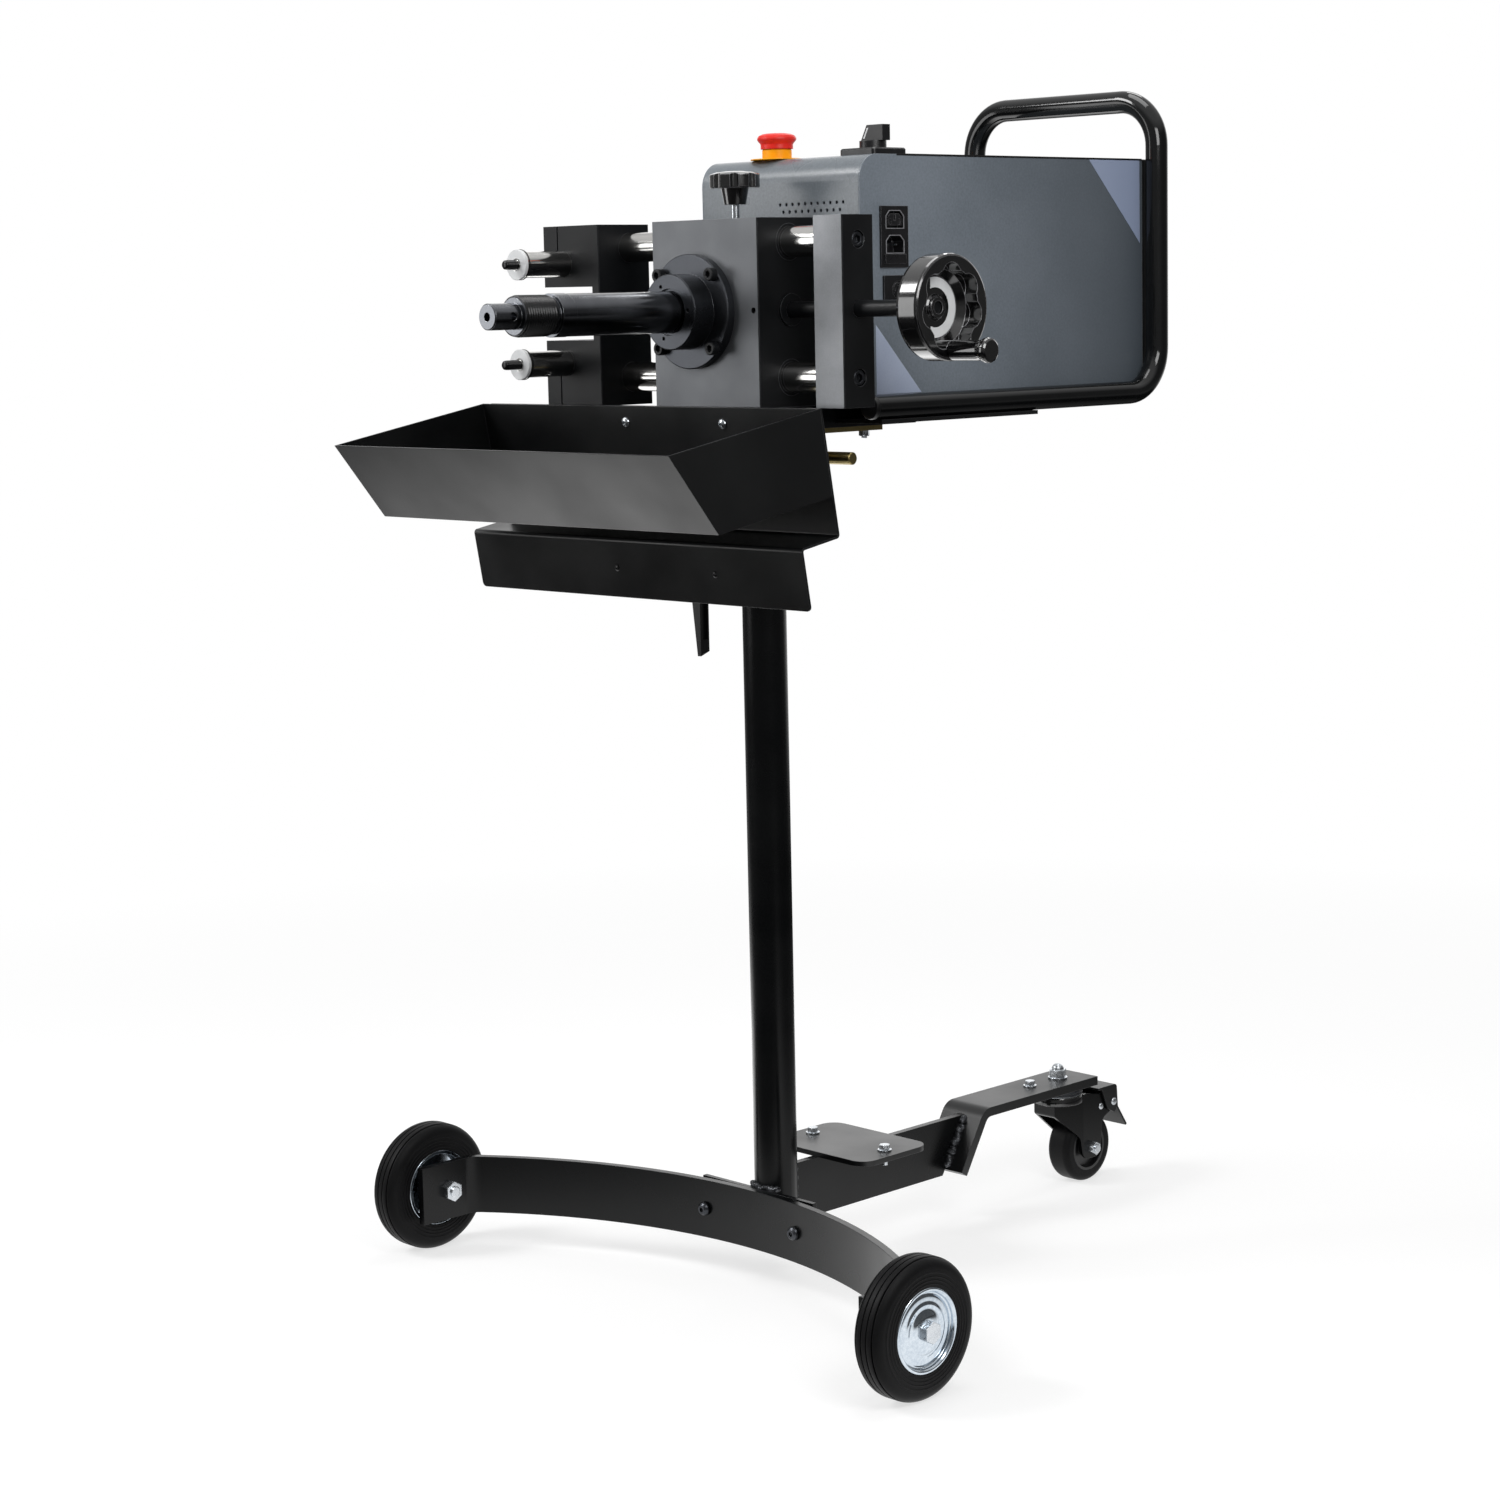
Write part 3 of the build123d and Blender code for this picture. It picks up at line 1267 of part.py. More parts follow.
def handwheel():
    """Dished handwheel: a deep rim with finger pockets inside it, a hub and a crank boss."""
    radius = handwheel_diameter / 2
    depth = handwheel_depth
    inner = radius - handwheel_rim
    hub = hub_face_diameter / 2
    boss = hub_boss_diameter / 2
    bore = screw_stub_diameter / 2 + seat_gap
    cap = hub_cap_diameter / 2
    cap_front = handwheel_face + hub_cap_height
    body = [(bore, -hub_boss_length), (boss, -hub_boss_length), (boss, 0), (radius - 7, 0)]
    body += [(radius - 3.5, 1), (radius - 1, 3.5), (radius, 7), (radius, depth - 3)]
    body += [(radius - 0.8, depth - 1), (radius - 2.5, depth), (bore, depth)]
    dish = [(0, cap_front), (cap - 1, cap_front), (cap, cap_front - 1), (cap, handwheel_face + 1.5)]
    dish += [(cap + 2, handwheel_face), (hub, handwheel_face), (hub, handwheel_face - 0.8)]
    dish += [(hub + 1.2, handwheel_face - 0.8), (hub + 1.2, handwheel_face)]
    dish += [(inner - 0.4, finger_pocket_floor), (inner - 0.4, finger_pocket_floor + 1)]
    dish += [(0, finger_pocket_floor + 1)]
    pocket = Circle(finger_pocket_diameter / 2)
    pocket_circle = radius - finger_pocket_wall - finger_pocket_diameter / 2
    opening = Circle(inner) + PolarLocations(pocket_circle, finger_pockets, 180 / finger_pockets) * pocket
    opening = fillet(opening.vertices(), 3)
    hollow = turned(dish, (0, 0, 0), UP) + Pos(0, 0, finger_pocket_floor) * extrude(opening, depth)
    crank_boss = rod((crank_radius, 0, -depth), UP, 4 * depth, crank_boss_diameter)
    crank_hole = rod((crank_radius, 0, -depth), UP, 4 * depth, crank_pin_diameter + seat_gap)
    wheel = turned(body, (0, 0, 0), UP) - (hollow - crank_boss) - crank_hole
    seat = Plane(origin=(handwheel_back, rod_y, spindle_height), x_dir=DOWN, z_dir=RIGHT)
    return seat * wheel


def crank_pin():
    """Pin in the handwheel that the crank handle turns on."""
    start = (handwheel_back, rod_y, spindle_height - crank_radius)
    length = handwheel_depth + crank_pin_depth
    return rod(start, RIGHT, length, crank_pin_diameter)


def crank_handle():
    """Tapered handle that turns on the crank pin."""
    shank = crank_shank_diameter / 2
    end = crank_end_diameter / 2
    bore = crank_pin_diameter / 2 + running_fit
    depth = crank_pin_depth + free_gap
    profile = [(bore, 0), (shank - 1.5, 0), (shank, 1.5), (shank, crank_length - 13)]
    profile += [(shank + 0.6, crank_length - 9.5), (end - 0.4, crank_length - 7), (end, crank_length - 5)]
    profile += [(end, crank_length - 3), (end - 0.7, crank_length - 1.2), (end - 2.5, crank_length)]
    profile += [(0, crank_length), (0, depth), (bore, depth)]
    start = (handwheel_front + free_gap, rod_y, spindle_height - crank_radius)
    return turned(profile, start, RIGHT)


# Controls and sockets


def estop_collar():
    """Collar of the emergency stop with its contact block under the housing's top."""
    outer = estop_collar_diameter / 2
    bore = estop_stem_diameter / 2 + running_fit
    thread = estop_thread_diameter / 2 - seat_gap
    under = -sheet - estop_block_depth
    half = estop_block_side / 2
    profile = [(bore, under + 4), (thread, under + 4), (thread, 0), (outer, 0)]
    profile += [(outer, estop_collar_height - 1), (outer - 1, estop_collar_height)]
    profile.append((bore, estop_collar_height))
    collar = turned(profile, (estop_x, estop_y, housing_top), UP)
    x_range = (estop_x - half, estop_x + half)
    y_range = (estop_y - half, estop_y + half)
    block = box_between(x_range, y_range, (housing_top + under, housing_top - 3 * sheet))
    bore_start = (estop_x, estop_y, housing_top + under + 4)
    return collar + block - rod(bore_start, UP, 2 * (estop_collar_height - under), 2 * bore)


def estop_button():
    """Mushroom button, hollow underneath so that it closes over the collar when pressed."""
    head = estop_head_diameter / 2
    stem = estop_stem_diameter / 2
    hollow = estop_collar_diameter / 2 + free_gap
    base = estop_collar_height + free_gap
    roof = base + estop_travel + 1
    top = estop_collar_height + estop_head_height
    stem_bottom = -sheet - estop_block_depth + 4 + estop_travel + 1
    skirt = hollow + estop_skirt_wall
    profile = [(0, stem_bottom), (stem, stem_bottom), (stem, roof), (hollow, roof), (hollow, base)]
    profile += [(skirt, base), (skirt, base + 4.5), (head - 2.6, base + 6), (head - 0.8, base + 8)]
    profile += [(head, base + 9.6), (head - 0.2, base + 11), (head - 1.6, top - 2.4), (head - 5, top - 0.8)]
    profile += [(head - 10, top), (0, top)]
    return turned(profile, (estop_x, estop_y, housing_top), UP)


def switch_base():
    """Square face plate of the cam switch with its body under the housing's top."""
    plate = extrude(RectangleRounded(switch_side, switch_side, 4), switch_plate_height)
    plate = chamfer(plate.faces().sort_by(Axis.Z)[-1].edges(), 1.5)
    neck = rod((0, 0, -sheet), UP, sheet + 1, switch_neck_diameter - 2 * seat_gap)
    half = switch_body_side / 2
    body = box_between((-half, half), (-half, half), (-sheet - switch_body_depth, -sheet))
    hole_start = (0, 0, -sheet - switch_body_depth / 2)
    hole_length = sheet + switch_body_depth + switch_plate_height
    base = plate + neck + body - rod(hole_start, UP, hole_length, switch_shaft_diameter + 2 * running_fit)
    return Pos(switch_x, switch_y, housing_top) * base


def switch_knob():
    """Dial of the cam switch with a ridge-shaped grip on a shaft."""
    dial_bottom = switch_plate_height + free_gap
    dial_top = dial_bottom + switch_dial_height
    shaft_bottom = -sheet - switch_body_depth / 2 + free_gap
    knob = rod((0, 0, shaft_bottom), UP, dial_bottom - shaft_bottom + 1, switch_shaft_diameter)
    knob += rod((0, 0, dial_bottom), UP, switch_dial_height, switch_dial_diameter)
    low = switch_grip_shift - switch_grip_length / 2
    high = switch_grip_shift + switch_grip_length / 2
    top = dial_top + switch_grip_height
    side_view = Polygon((low, dial_top), (high, dial_top), (high, top), (low + switch_grip_slope, top))
    grip = Pos(0, switch_grip_width / 2, 0) * extrude(Plane.XZ * side_view, switch_grip_width, dir=FRONT)
    return Pos(switch_x, switch_y, housing_top) * (knob + grip)


def socket_outline(inset):
    """Outline of a mains socket with its two upper corners cut off, drawn smaller by an inset."""
    half_width = inlet_width / 2 - inset
    half_height = inlet_height / 2 - inset
    cut = inlet_corner - inset * 0.6
    corners = [(-half_width, -half_height), (half_width, -half_height), (half_width, half_height - cut)]
    corners += [(half_width - cut, half_height), (cut - half_width, half_height)]
    corners.append((-half_width, half_height - cut))
    return Polygon(*corners)


def power_module():
    """Socket module: flange, body, recessed inlet, grooved outlet with slots and a fuse drawer pocket."""
    half = module_width / 2
    face = housing_right + module_flange
    z_range = (module_bottom, module_bottom + module_height)
    module = box_between((housing_right, face), (module_y - half, module_y + half), z_range)
    body_y, body_z = module_cutout()
    body_y = (body_y[0] + seat_gap, body_y[1] - seat_gap)
    body_z = (body_z[0] + seat_gap, body_z[1] - seat_gap)
    module += box_between((face - module_body_depth, face - 1), body_y, body_z)
    inlet = Plane(origin=(face, module_y, inlet_centre), x_dir=REAR, z_dir=RIGHT)
    module -= inlet * extrude(socket_outline(0), -inlet_depth)
    outlet = Plane(origin=(face, module_y, outlet_centre), x_dir=REAR, z_dir=RIGHT)
    module -= outlet * extrude(socket_outline(0) - socket_outline(outlet_groove), -outlet_groove_depth)
    slot = Rectangle(outlet_slot_width, outlet_slot_length)
    slots = Pos(-outlet_slot_spacing / 2, -2) * slot + Pos(outlet_slot_spacing / 2, -2) * slot
    slots += Pos(0, 2) * slot
    module -= outlet * extrude(slots, -outlet_groove_depth)
    drawer_y = (module_y - drawer_width / 2 - free_gap, module_y + drawer_width / 2 + free_gap)
    drawer_z = (drawer_centre - drawer_height / 2 - free_gap, drawer_centre + drawer_height / 2 + free_gap)
    return module - box_between((face - drawer_depth - free_gap, face + 1), drawer_y, drawer_z)


def fuse_drawer():
    """Small drawer that holds the fuse in the power module."""
    face = housing_right + module_flange
    y_range = (module_y - drawer_width / 2, module_y + drawer_width / 2)
    z_range = (drawer_centre - drawer_height / 2, drawer_centre + drawer_height / 2)
    return box_between((face - drawer_depth, face + drawer_proud), y_range, z_range)


def signal_socket():
    """Round socket on a plate, with a groove round its face and three contact holes."""
    outline = RectangleRounded(socket_plate_width, socket_plate_height, 2)
    face_radius = socket_face_diameter / 2
    socket = extrude(outline, socket_plate_thickness)
    socket += rod((0, 0, 0), DOWN, 20, socket_face_diameter - 2 * seat_gap)
    groove = Circle(face_radius) - Circle(face_radius - socket_groove)
    socket -= Pos(0, 0, socket_plate_thickness - 1.5) * extrude(groove, 3)
    contact = rod((socket_pin_circle / 2, 0, socket_plate_thickness - 6), UP, 8, socket_pin_diameter)
    for angle in socket_pin_angles:
        socket -= Rot(0, 0, angle) * contact
    return Plane(origin=(housing_right, socket_y, socket_height), x_dir=REAR, z_dir=RIGHT) * socket


nodes = {
    "front_bar": front_bar(),
    "joint_plate": joint_plate(),
    "bar_bolts": bar_bolts(),
    "mast_tube": mast_tube(),
    "mast_collar": mast_collar(),
    "rear_beam": rear_beam(),
    "accessory_plate": accessory_plate(),
    "frame_bolts": frame_bolts(),
    "caster_bracket": caster_bracket(),
    "axle_bolts": axle_bolts(),
    "left_tyre": tyre(-1),
    "left_rim": rim(-1),
    "right_tyre": tyre(1),
    "right_rim": rim(1),
    "caster_stem": caster_stem(),
    "caster_fork": caster_fork(),
    "caster_axle": caster_axle(),
    "caster_tyre": caster_tyre(),
    "caster_hub": caster_hub(),
    "caster_pedal": caster_pedal(),
    "clamp_lever": clamp_lever(),
    "inner_post": inner_post(),
    "swivel_yoke": swivel_yoke(),
    "pivot_pin": pivot_pin(),
    "pivot_bracket": pivot_bracket(),
    "mounting_plate": mounting_plate(),
    "base_plate": base_plate(),
    "rail_frame": rail_frame(),
    "tray_bracket": tray_bracket(),
    "chip_tray": chip_tray(),
    "apron": apron(),
    "housing_wrap": housing_wrap(),
    "side_panel_left": side_panel_left(),
    "side_panel_right": side_panel_right(),
    "rear_panel": rear_panel(),
    "housing_floor": housing_floor(),
    "head_block": head_block(),
    "spindle": spindle(),
    "spindle_bearings": spindle_bearings(),
    "bearing_flange": bearing_flange(),
    "bushes": bushes(),
    "gear_motor": gear_motor(),
    "guide_rods": guide_rods(),
    "end_plate": end_plate(),
    "lead_nut": lead_nut(),
    "tool_block": tool_block(),
    "upper_tool_post": tool_post(post_heights[1], upper_stud_reach),
    "lower_tool_post": tool_post(post_heights[0], lower_stud_reach),
    "lock_knob": lock_knob(),
    "lead_screw": lead_screw(),
    "handwheel": handwheel(),
    "crank_pin": crank_pin(),
    "crank_handle": crank_handle(),
    "estop_collar": estop_collar(),
    "estop_button": estop_button(),
    "switch_base": switch_base(),
    "switch_knob": switch_knob(),
    "power_module": power_module(),
    "fuse_drawer": fuse_drawer(),
    "signal_socket": signal_socket(),
}

# The origin: halfway between the spindle's nose and the toe of the caster's pedal.
nose_y = block_front - nose_reach
middle_y = (nose_y + pedal_toe_y) / 2

os.makedirs("parts", exist_ok=True)
for name, piece in nodes.items():
    export_step(Pos(0, -middle_y, 0) * piece, f"parts/{name}.step")
print(len(nodes), "pieces written, moved along Y by", -middle_y)
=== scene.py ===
# %% [markdown]
# # A brake lathe on a wheeled trolley
# The machine turns a car's brake discs while they stay on the hub. Its solids were drawn and packed
# elsewhere, and this lesson dresses them: finishes for every piece, the small fasteners, threads and welds
# that the solids leave out, then light and a camera. The solids load first, because everything else is
# placed against them.

# %% Load the solids
import json
import bpy
import numpy as np
from mathutils import Matrix


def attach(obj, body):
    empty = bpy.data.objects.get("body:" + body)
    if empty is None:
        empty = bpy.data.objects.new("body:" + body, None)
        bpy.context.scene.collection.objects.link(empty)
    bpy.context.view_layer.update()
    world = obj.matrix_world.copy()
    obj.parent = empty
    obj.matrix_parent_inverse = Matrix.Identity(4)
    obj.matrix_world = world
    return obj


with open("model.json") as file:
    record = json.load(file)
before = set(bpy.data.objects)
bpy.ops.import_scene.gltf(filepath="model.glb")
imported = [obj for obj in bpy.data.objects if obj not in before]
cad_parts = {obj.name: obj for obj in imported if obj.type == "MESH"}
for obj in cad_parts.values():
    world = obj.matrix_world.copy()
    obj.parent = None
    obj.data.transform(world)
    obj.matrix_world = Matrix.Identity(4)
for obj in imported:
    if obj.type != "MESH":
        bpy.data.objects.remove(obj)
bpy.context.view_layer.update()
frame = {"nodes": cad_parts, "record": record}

# %% [markdown]
# ## Colours and nodes
# Colours are written as they would be picked on a screen, in sRGB hex. Blender's shaders want linear light,
# so one function converts them. A second small function adds any shader node, sets its values and links
# its sockets, which keeps each finish readable as a list of nodes. The node editor could do the same by
# hand, but then the numbers would be hidden in the file.
#
# Several sockets of a node can share a name, so some go by number. In Map Range 1 and 2 are the range that
# comes in, 3 and 4 the range that goes out. In Mix 2 and 3 are the two values, 6 and 7 the two colours.


# %% Helpers for finishes
def linear(code):
    """sRGB hex to linear light: c / 12.92 near black, otherwise ((c + 0.055) / 1.055) to the power 2.4."""
    srgb = np.array([int(code[k:k + 2], 16) for k in (1, 3, 5)]) / 255
    light = np.where(srgb <= 0.04045, srgb / 12.92, ((srgb + 0.055) / 1.055) ** 2.4)
    return (*light.tolist(), 1.0)


def put(tree, kind, inputs=None, **settings):
    """Add one node: settings go on the node, values on its sockets, and sockets are linked."""
    node = tree.nodes.new(kind)
    for name, value in settings.items():
        setattr(node, name, value)
    for key, value in (inputs or {}).items():
        if isinstance(value, bpy.types.NodeSocket):
            tree.links.new(value, node.inputs[key])
        else:
            node.inputs[key].default_value = value
    return node


# %% [markdown]
# ## One recipe for hard finishes
# Paint, plating, ground steel and moulded plastic differ in colour, gloss and grain, but they share a
# build-up: a cloudy drift of tone over some centimetres, a fine grain that also lifts the surface a few
# micrometres, uneven gloss, and edges that are slightly rounded and drawn paler. The Bevel node rounds
# edges in shading only, so the solids keep their exact shape. A paler, more metallic front on an otherwise
# black block is painted light, where the front lamp falls and reflects, and is chosen by the direction the face
# has on the object. Image textures could do all this, but noise on Object coordinates has no seams and a size
# in real millimetres.

# %% The recipe
noise_low, noise_high = 0.3, 0.7  # a noise texture mostly stays between these
sum_low, sum_high = 0.7, 1.3  # the sum of two stays between these
facing_from, facing_full = 0.9, 0.97  # cosine of the angle between a face and the side with painted light
edge_from, edge_full = 0.97, 0.8  # cosine of the angle by which the rounding turns an edge
lit_front_metallic = 0.7


def finish(name, dark, light, roughness, metallic=0.0, cloud_mm=70, grain_mm=1.5, grain_um=8, spread=0.06,
           edge=None, round_mm=0.6, stretch=(1, 1, 1), ground=None, fade=None, fixed=None):
    """Colour = dark to light by cloud and grain; noise scale = 1000 / size in mm; bump height in micrometres.
    Roughness = its mean plus or minus spread, by cloud. edge is a paler colour along edges, where the rounding
    turns the normal, stretch draws the grain finer along an axis, the side colours (dark, light, roughness,
    direction) give one side a paler, more metallic copy as painted light, fade mixes to a darker colour between
    two places along Y in mm as painted shade, and fixed holds sockets that are the same all over."""
    material = bpy.data.materials.new(name)
    material.use_nodes = True
    tree = material.node_tree
    tree.nodes.clear()
    coords = put(tree, "ShaderNodeTexCoord")
    place = coords.outputs["Object"]
    drawn = put(tree, "ShaderNodeMapping", {"Vector": place, "Scale": stretch}).outputs[0]
    cloud = put(tree, "ShaderNodeTexNoise", {"Vector": place, "Scale": 1000 / cloud_mm, "Detail": 3.0}).outputs[0]
    grain = put(tree, "ShaderNodeTexNoise", {"Vector": drawn, "Scale": 1000 / grain_mm, "Detail": 2.0}).outputs[0]
    both = put(tree, "ShaderNodeMath", {0: cloud, 1: grain}, operation="ADD").outputs[0]
    tone = put(tree, "ShaderNodeMapRange", {0: both, 1: sum_low, 2: sum_high}).outputs[0]
    colour = put(tree, "ShaderNodeMix", {0: tone, 6: linear(dark), 7: linear(light)}, data_type="RGBA").outputs[2]
    gloss = put(tree, "ShaderNodeMapRange", {0: cloud, 1: noise_low, 2: noise_high,
                                             3: roughness - spread, 4: roughness + spread}).outputs[0]
    metal = metallic
    # fade is painted shade: the colour mixes to a darker one along Y, where the light falls off.
    if fade:
        start_mm, end_mm, painted_shade = fade
        along = put(tree, "ShaderNodeSeparateXYZ", {0: place}).outputs["Y"]
        share = put(tree, "ShaderNodeMapRange", {0: along, 1: start_mm / 1000, 2: end_mm / 1000}).outputs[0]
        colour = put(tree, "ShaderNodeMix", {0: share, 6: colour, 7: linear(painted_shade)}, data_type="RGBA").outputs[2]
    # The paler, more metallic side is painted light: where the front lamp falls and reflects.
    if ground:
        deep, pale, lit_front_rough, facing = ground
        faced = put(tree, "ShaderNodeVectorMath", {0: coords.outputs["Normal"], 1: facing},
                    operation="DOT_PRODUCT").outputs["Value"]
        mask = put(tree, "ShaderNodeMapRange", {0: faced, 1: facing_from, 2: facing_full}).outputs[0]
        painted_lit_colour = put(tree, "ShaderNodeMix", {0: tone, 6: linear(deep), 7: linear(pale)}, data_type="RGBA").outputs[2]
        colour = put(tree, "ShaderNodeMix", {0: mask, 6: colour, 7: painted_lit_colour}, data_type="RGBA").outputs[2]
        gloss = put(tree, "ShaderNodeMix", {0: mask, 2: gloss, 3: lit_front_rough}).outputs[0]
        metal = put(tree, "ShaderNodeMix", {0: mask, 2: metallic, 3: lit_front_metallic}).outputs[0]
    soft = put(tree, "ShaderNodeBevel", {"Radius": round_mm / 1000}, samples=6).outputs[0]
    # Edges are drawn paler where the rounding turns the normal.
    if edge:
        flat = put(tree, "ShaderNodeNewGeometry").outputs["Normal"]
        turned_by = put(tree, "ShaderNodeVectorMath", {0: soft, 1: flat}, operation="DOT_PRODUCT").outputs["Value"]
        paler_edge = put(tree, "ShaderNodeMapRange", {0: turned_by, 1: edge_from, 2: edge_full}).outputs[0]
        patchy = put(tree, "ShaderNodeMath", {0: paler_edge, 1: cloud}, operation="MULTIPLY").outputs[0]
        colour = put(tree, "ShaderNodeMix", {0: patchy, 6: colour, 7: linear(edge)}, data_type="RGBA").outputs[2]
    bump = put(tree, "ShaderNodeBump", {"Height": grain, "Distance": grain_um / 1e6, "Normal": soft}).outputs[0]
    shader = put(tree, "ShaderNodeBsdfPrincipled", {"Base Color": colour, "Roughness": gloss, "Metallic": metal,
                                                    "Normal": bump, **(fixed or {})})
    put(tree, "ShaderNodeOutputMaterial", {"Surface": shader.outputs[0]})
    return material


# %% [markdown]
# ## Painted steel
# The trolley, the tray and the tube frame are mild steel with black powder coat: satin on the tray, glossier
# on the trolley and the tubes, with the slight orange peel of a baked powder, and drawn paler along its
# edges. The housing is bent sheet with a slate grey textured paint. Its real grain is under a millimetre and
# is drawn at 2.4 mm, so that it shows in the render. The side panels carry a print, and they and the lavender
# marks on them darken towards the rear: painted shade, where the light falls off.

# %% Paints
powder_coat = finish("satin_black_powder_coat", "#070809", "#0d0e0f", 0.36, cloud_mm=90, grain_mm=2.4,
                     grain_um=9, edge="#33353a", round_mm=0.9)
weld_coat = finish("glossy_black_powder_on_weld", "#141517", "#55575b", 0.13, 0.7, cloud_mm=6, grain_mm=2.4,
                   grain_um=110, spread=0.05)
tube_gloss = finish("gloss_black_powder_coat", "#070809", "#0d0e0f", 0.09, cloud_mm=60, grain_mm=3.0,
                    grain_um=4, spread=0.03, round_mm=0.8)
trolley_coat = finish("gloss_black_trolley_powder", "#060708", "#0b0c0d", 0.26, cloud_mm=70, grain_mm=2.2,
                      grain_um=14, edge="#303236", round_mm=0.8, fixed={"Specular IOR Level": 0.24})
orange_peel = {"Coat Weight": 0.3, "Coat Roughness": 0.34}
slate_paint = finish("textured_slate_paint", "#5f666c", "#70777d", 0.3, cloud_mm=120, grain_mm=2.4,
                     grain_um=55, edge="#8a9096", round_mm=1.2, fixed=orange_peel)
# The panel darkens from 60 mm to 400 mm along Y: painted shade, where the light falls off towards the rear.
slate_with_painted_rear_shade = finish("slate_panel_with_painted_rear_shade", "#6a727a", "#7a828b", 0.34, cloud_mm=90, grain_mm=2.4,
                       grain_um=40, edge="#8a9096", round_mm=1.0, fade=(60, 400, "#474e55"))
# The lavender marks are print; their darkening along Y is painted shade, as on the panel.
lavender_paint = finish("printed_lavender_with_painted_rear_shade", "#a9b4cc", "#b6c0d4", 0.42, cloud_mm=60, grain_mm=1.3,
                        grain_um=6, fade=(60, 330, "#8e9ab4"))
print("paints:", powder_coat.name, weld_coat.name, slate_paint.name, lavender_paint.name)

# %% [markdown]
# ## Plated and ground metals
# Fasteners are zinc plated, the pivot parts are yellow-chromated zinc, and the pressed wheel rims have
# a bright blue zinc. The machined blocks are black oxide steel, and their front faces get a paler, more metallic
# copy of it as painted light, where the front lamp falls and reflects, so they are pale from the front and
# nearly black from the side. Rods and posts are ground steel. A metal keeps the default index of refraction,
# and its colour is its reflection.

# %% Metals
front_side = (0.0, -1.0, 0.0)
zinc_plate = finish("bright_zinc_plated_steel", "#b4b9be", "#d6dade", 0.24, 1.0, cloud_mm=14, grain_mm=0.9,
                    grain_um=4, edge="#e4e6e8", round_mm=0.4)
yellow_zinc = finish("yellow_chromated_zinc", "#85764a", "#a79768", 0.34, 1.0, cloud_mm=22, grain_mm=1.0,
                     grain_um=4, edge="#dccf9a", round_mm=0.4)
bright_pressing = finish("blue_zinc_plated_pressing", "#b2bdc8", "#d0d8df", 0.13, 1.0, cloud_mm=35, grain_mm=3.0,
                         grain_um=3, spread=0.04, round_mm=0.5)
oiled_thread = finish("oiled_black_thread", "#08090a", "#0f1011", 0.24, 0.3, cloud_mm=20, grain_mm=0.8,
                      grain_um=3)
black_oxide = finish("black_oxide_steel", "#0d0e10", "#151618", 0.4, cloud_mm=60, grain_mm=1.2, grain_um=5,
                     edge="#7d8084", round_mm=0.7, stretch=(1, 1, 8), fixed={"Specular IOR Level": 0.22})
# The fronts of the head block and the end plate are painted light: a paler, more metallic copy of the black, where
# the front lamp falls and reflects.
block_with_painted_lit_front = finish("black_oxide_block_with_painted_lit_front", "#141517", "#1f2022", 0.42, 0.5, cloud_mm=60,
                      grain_mm=1.2, grain_um=5, edge="#8d9094", round_mm=0.7, stretch=(1, 1, 8),
                      ground=("#595b5e", "#6e7073", 0.46, front_side))
brushed_plate_with_painted_lit_front = finish("brushed_black_oxide_plate_with_painted_lit_front", "#141517", "#1f2022", 0.42, 0.5, cloud_mm=60,
                       grain_mm=0.9, grain_um=6, edge="#9a9da1", round_mm=0.7, stretch=(9, 1, 1),
                       ground=("#6c6e71", "#929497", 0.42, front_side))
dark_steel = finish("dark_turned_steel", "#34363a", "#4a4c50", 0.32, 0.9, cloud_mm=40, grain_mm=1.0, grain_um=4,
                    edge="#a0a2a6", round_mm=0.4, stretch=(1, 10, 1))
ground_rod = finish("ground_bright_steel", "#bcbbb9", "#d6d5d2", 0.14, 1.0, cloud_mm=50, grain_mm=0.8, grain_um=2,
                    edge="#f0f0f0", round_mm=0.4, stretch=(20, 1, 1))
polished_shaft = finish("polished_dark_spindle_steel", "#57595d", "#6c6e72", 0.18, 1.0, cloud_mm=45, grain_mm=0.8,
                        grain_um=2, edge="#c8cacc", round_mm=0.5, stretch=(1, 20, 1))
bush_bronze = finish("machined_bearing_bronze", "#8a6434", "#a97d45", 0.35, 1.0, cloud_mm=15, grain_mm=0.7)
cast_aluminium = finish("cast_motor_aluminium", "#7d8186", "#94989c", 0.5, 0.9, cloud_mm=30, grain_mm=2.0,
                        grain_um=25)
print("metals:", zinc_plate.name, black_oxide.name, ground_rod.name, polished_shaft.name)

# %% [markdown]
# ## Rubber and plastics
# The tyres are solid moulded rubber, dull with a fine grain. Sockets and the switch are moulded black nylon.
# The star knob, the handwheel and its crank are polished phenolic, the black resin of many machine handles,
# which shows the studio as sharp reflections. On the knob, the handwheel and the sockets the pale edges are
# painted highlights, and so is the pale grey of the socket lips. The emergency stop is red on a yellow collar,
# both ABS.

# %% Rubber and plastics
tyre_rubber = finish("moulded_tyre_rubber", "#0d0d0e", "#161617", 0.5, cloud_mm=40, grain_mm=1.1, grain_um=10,
                     edge="#2c2c2d", round_mm=0.8, fixed={"Specular IOR Level": 0.12})
black_nylon = finish("moulded_black_nylon", "#0d0d0f", "#151517", 0.36, cloud_mm=25, grain_mm=0.8, grain_um=5,
                     edge="#3c3c3f", round_mm=0.5)
# The pale edges of the socket nylon are painted highlights.
socket_nylon = finish("socket_nylon_with_painted_edge_highlights", "#0f0f11", "#18181a", 0.3, cloud_mm=25, grain_mm=0.8, grain_um=5,
                      edge="#a4a4a8", round_mm=0.7)
phenolic_gloss = {"IOR": 1.65, "Coat Weight": 0.6}
polished_phenolic = finish("polished_black_phenolic", "#070708", "#0d0d0e", 0.12, cloud_mm=30, grain_mm=5.0,
                           grain_um=3, spread=0.04, round_mm=0.8, fixed=phenolic_gloss)
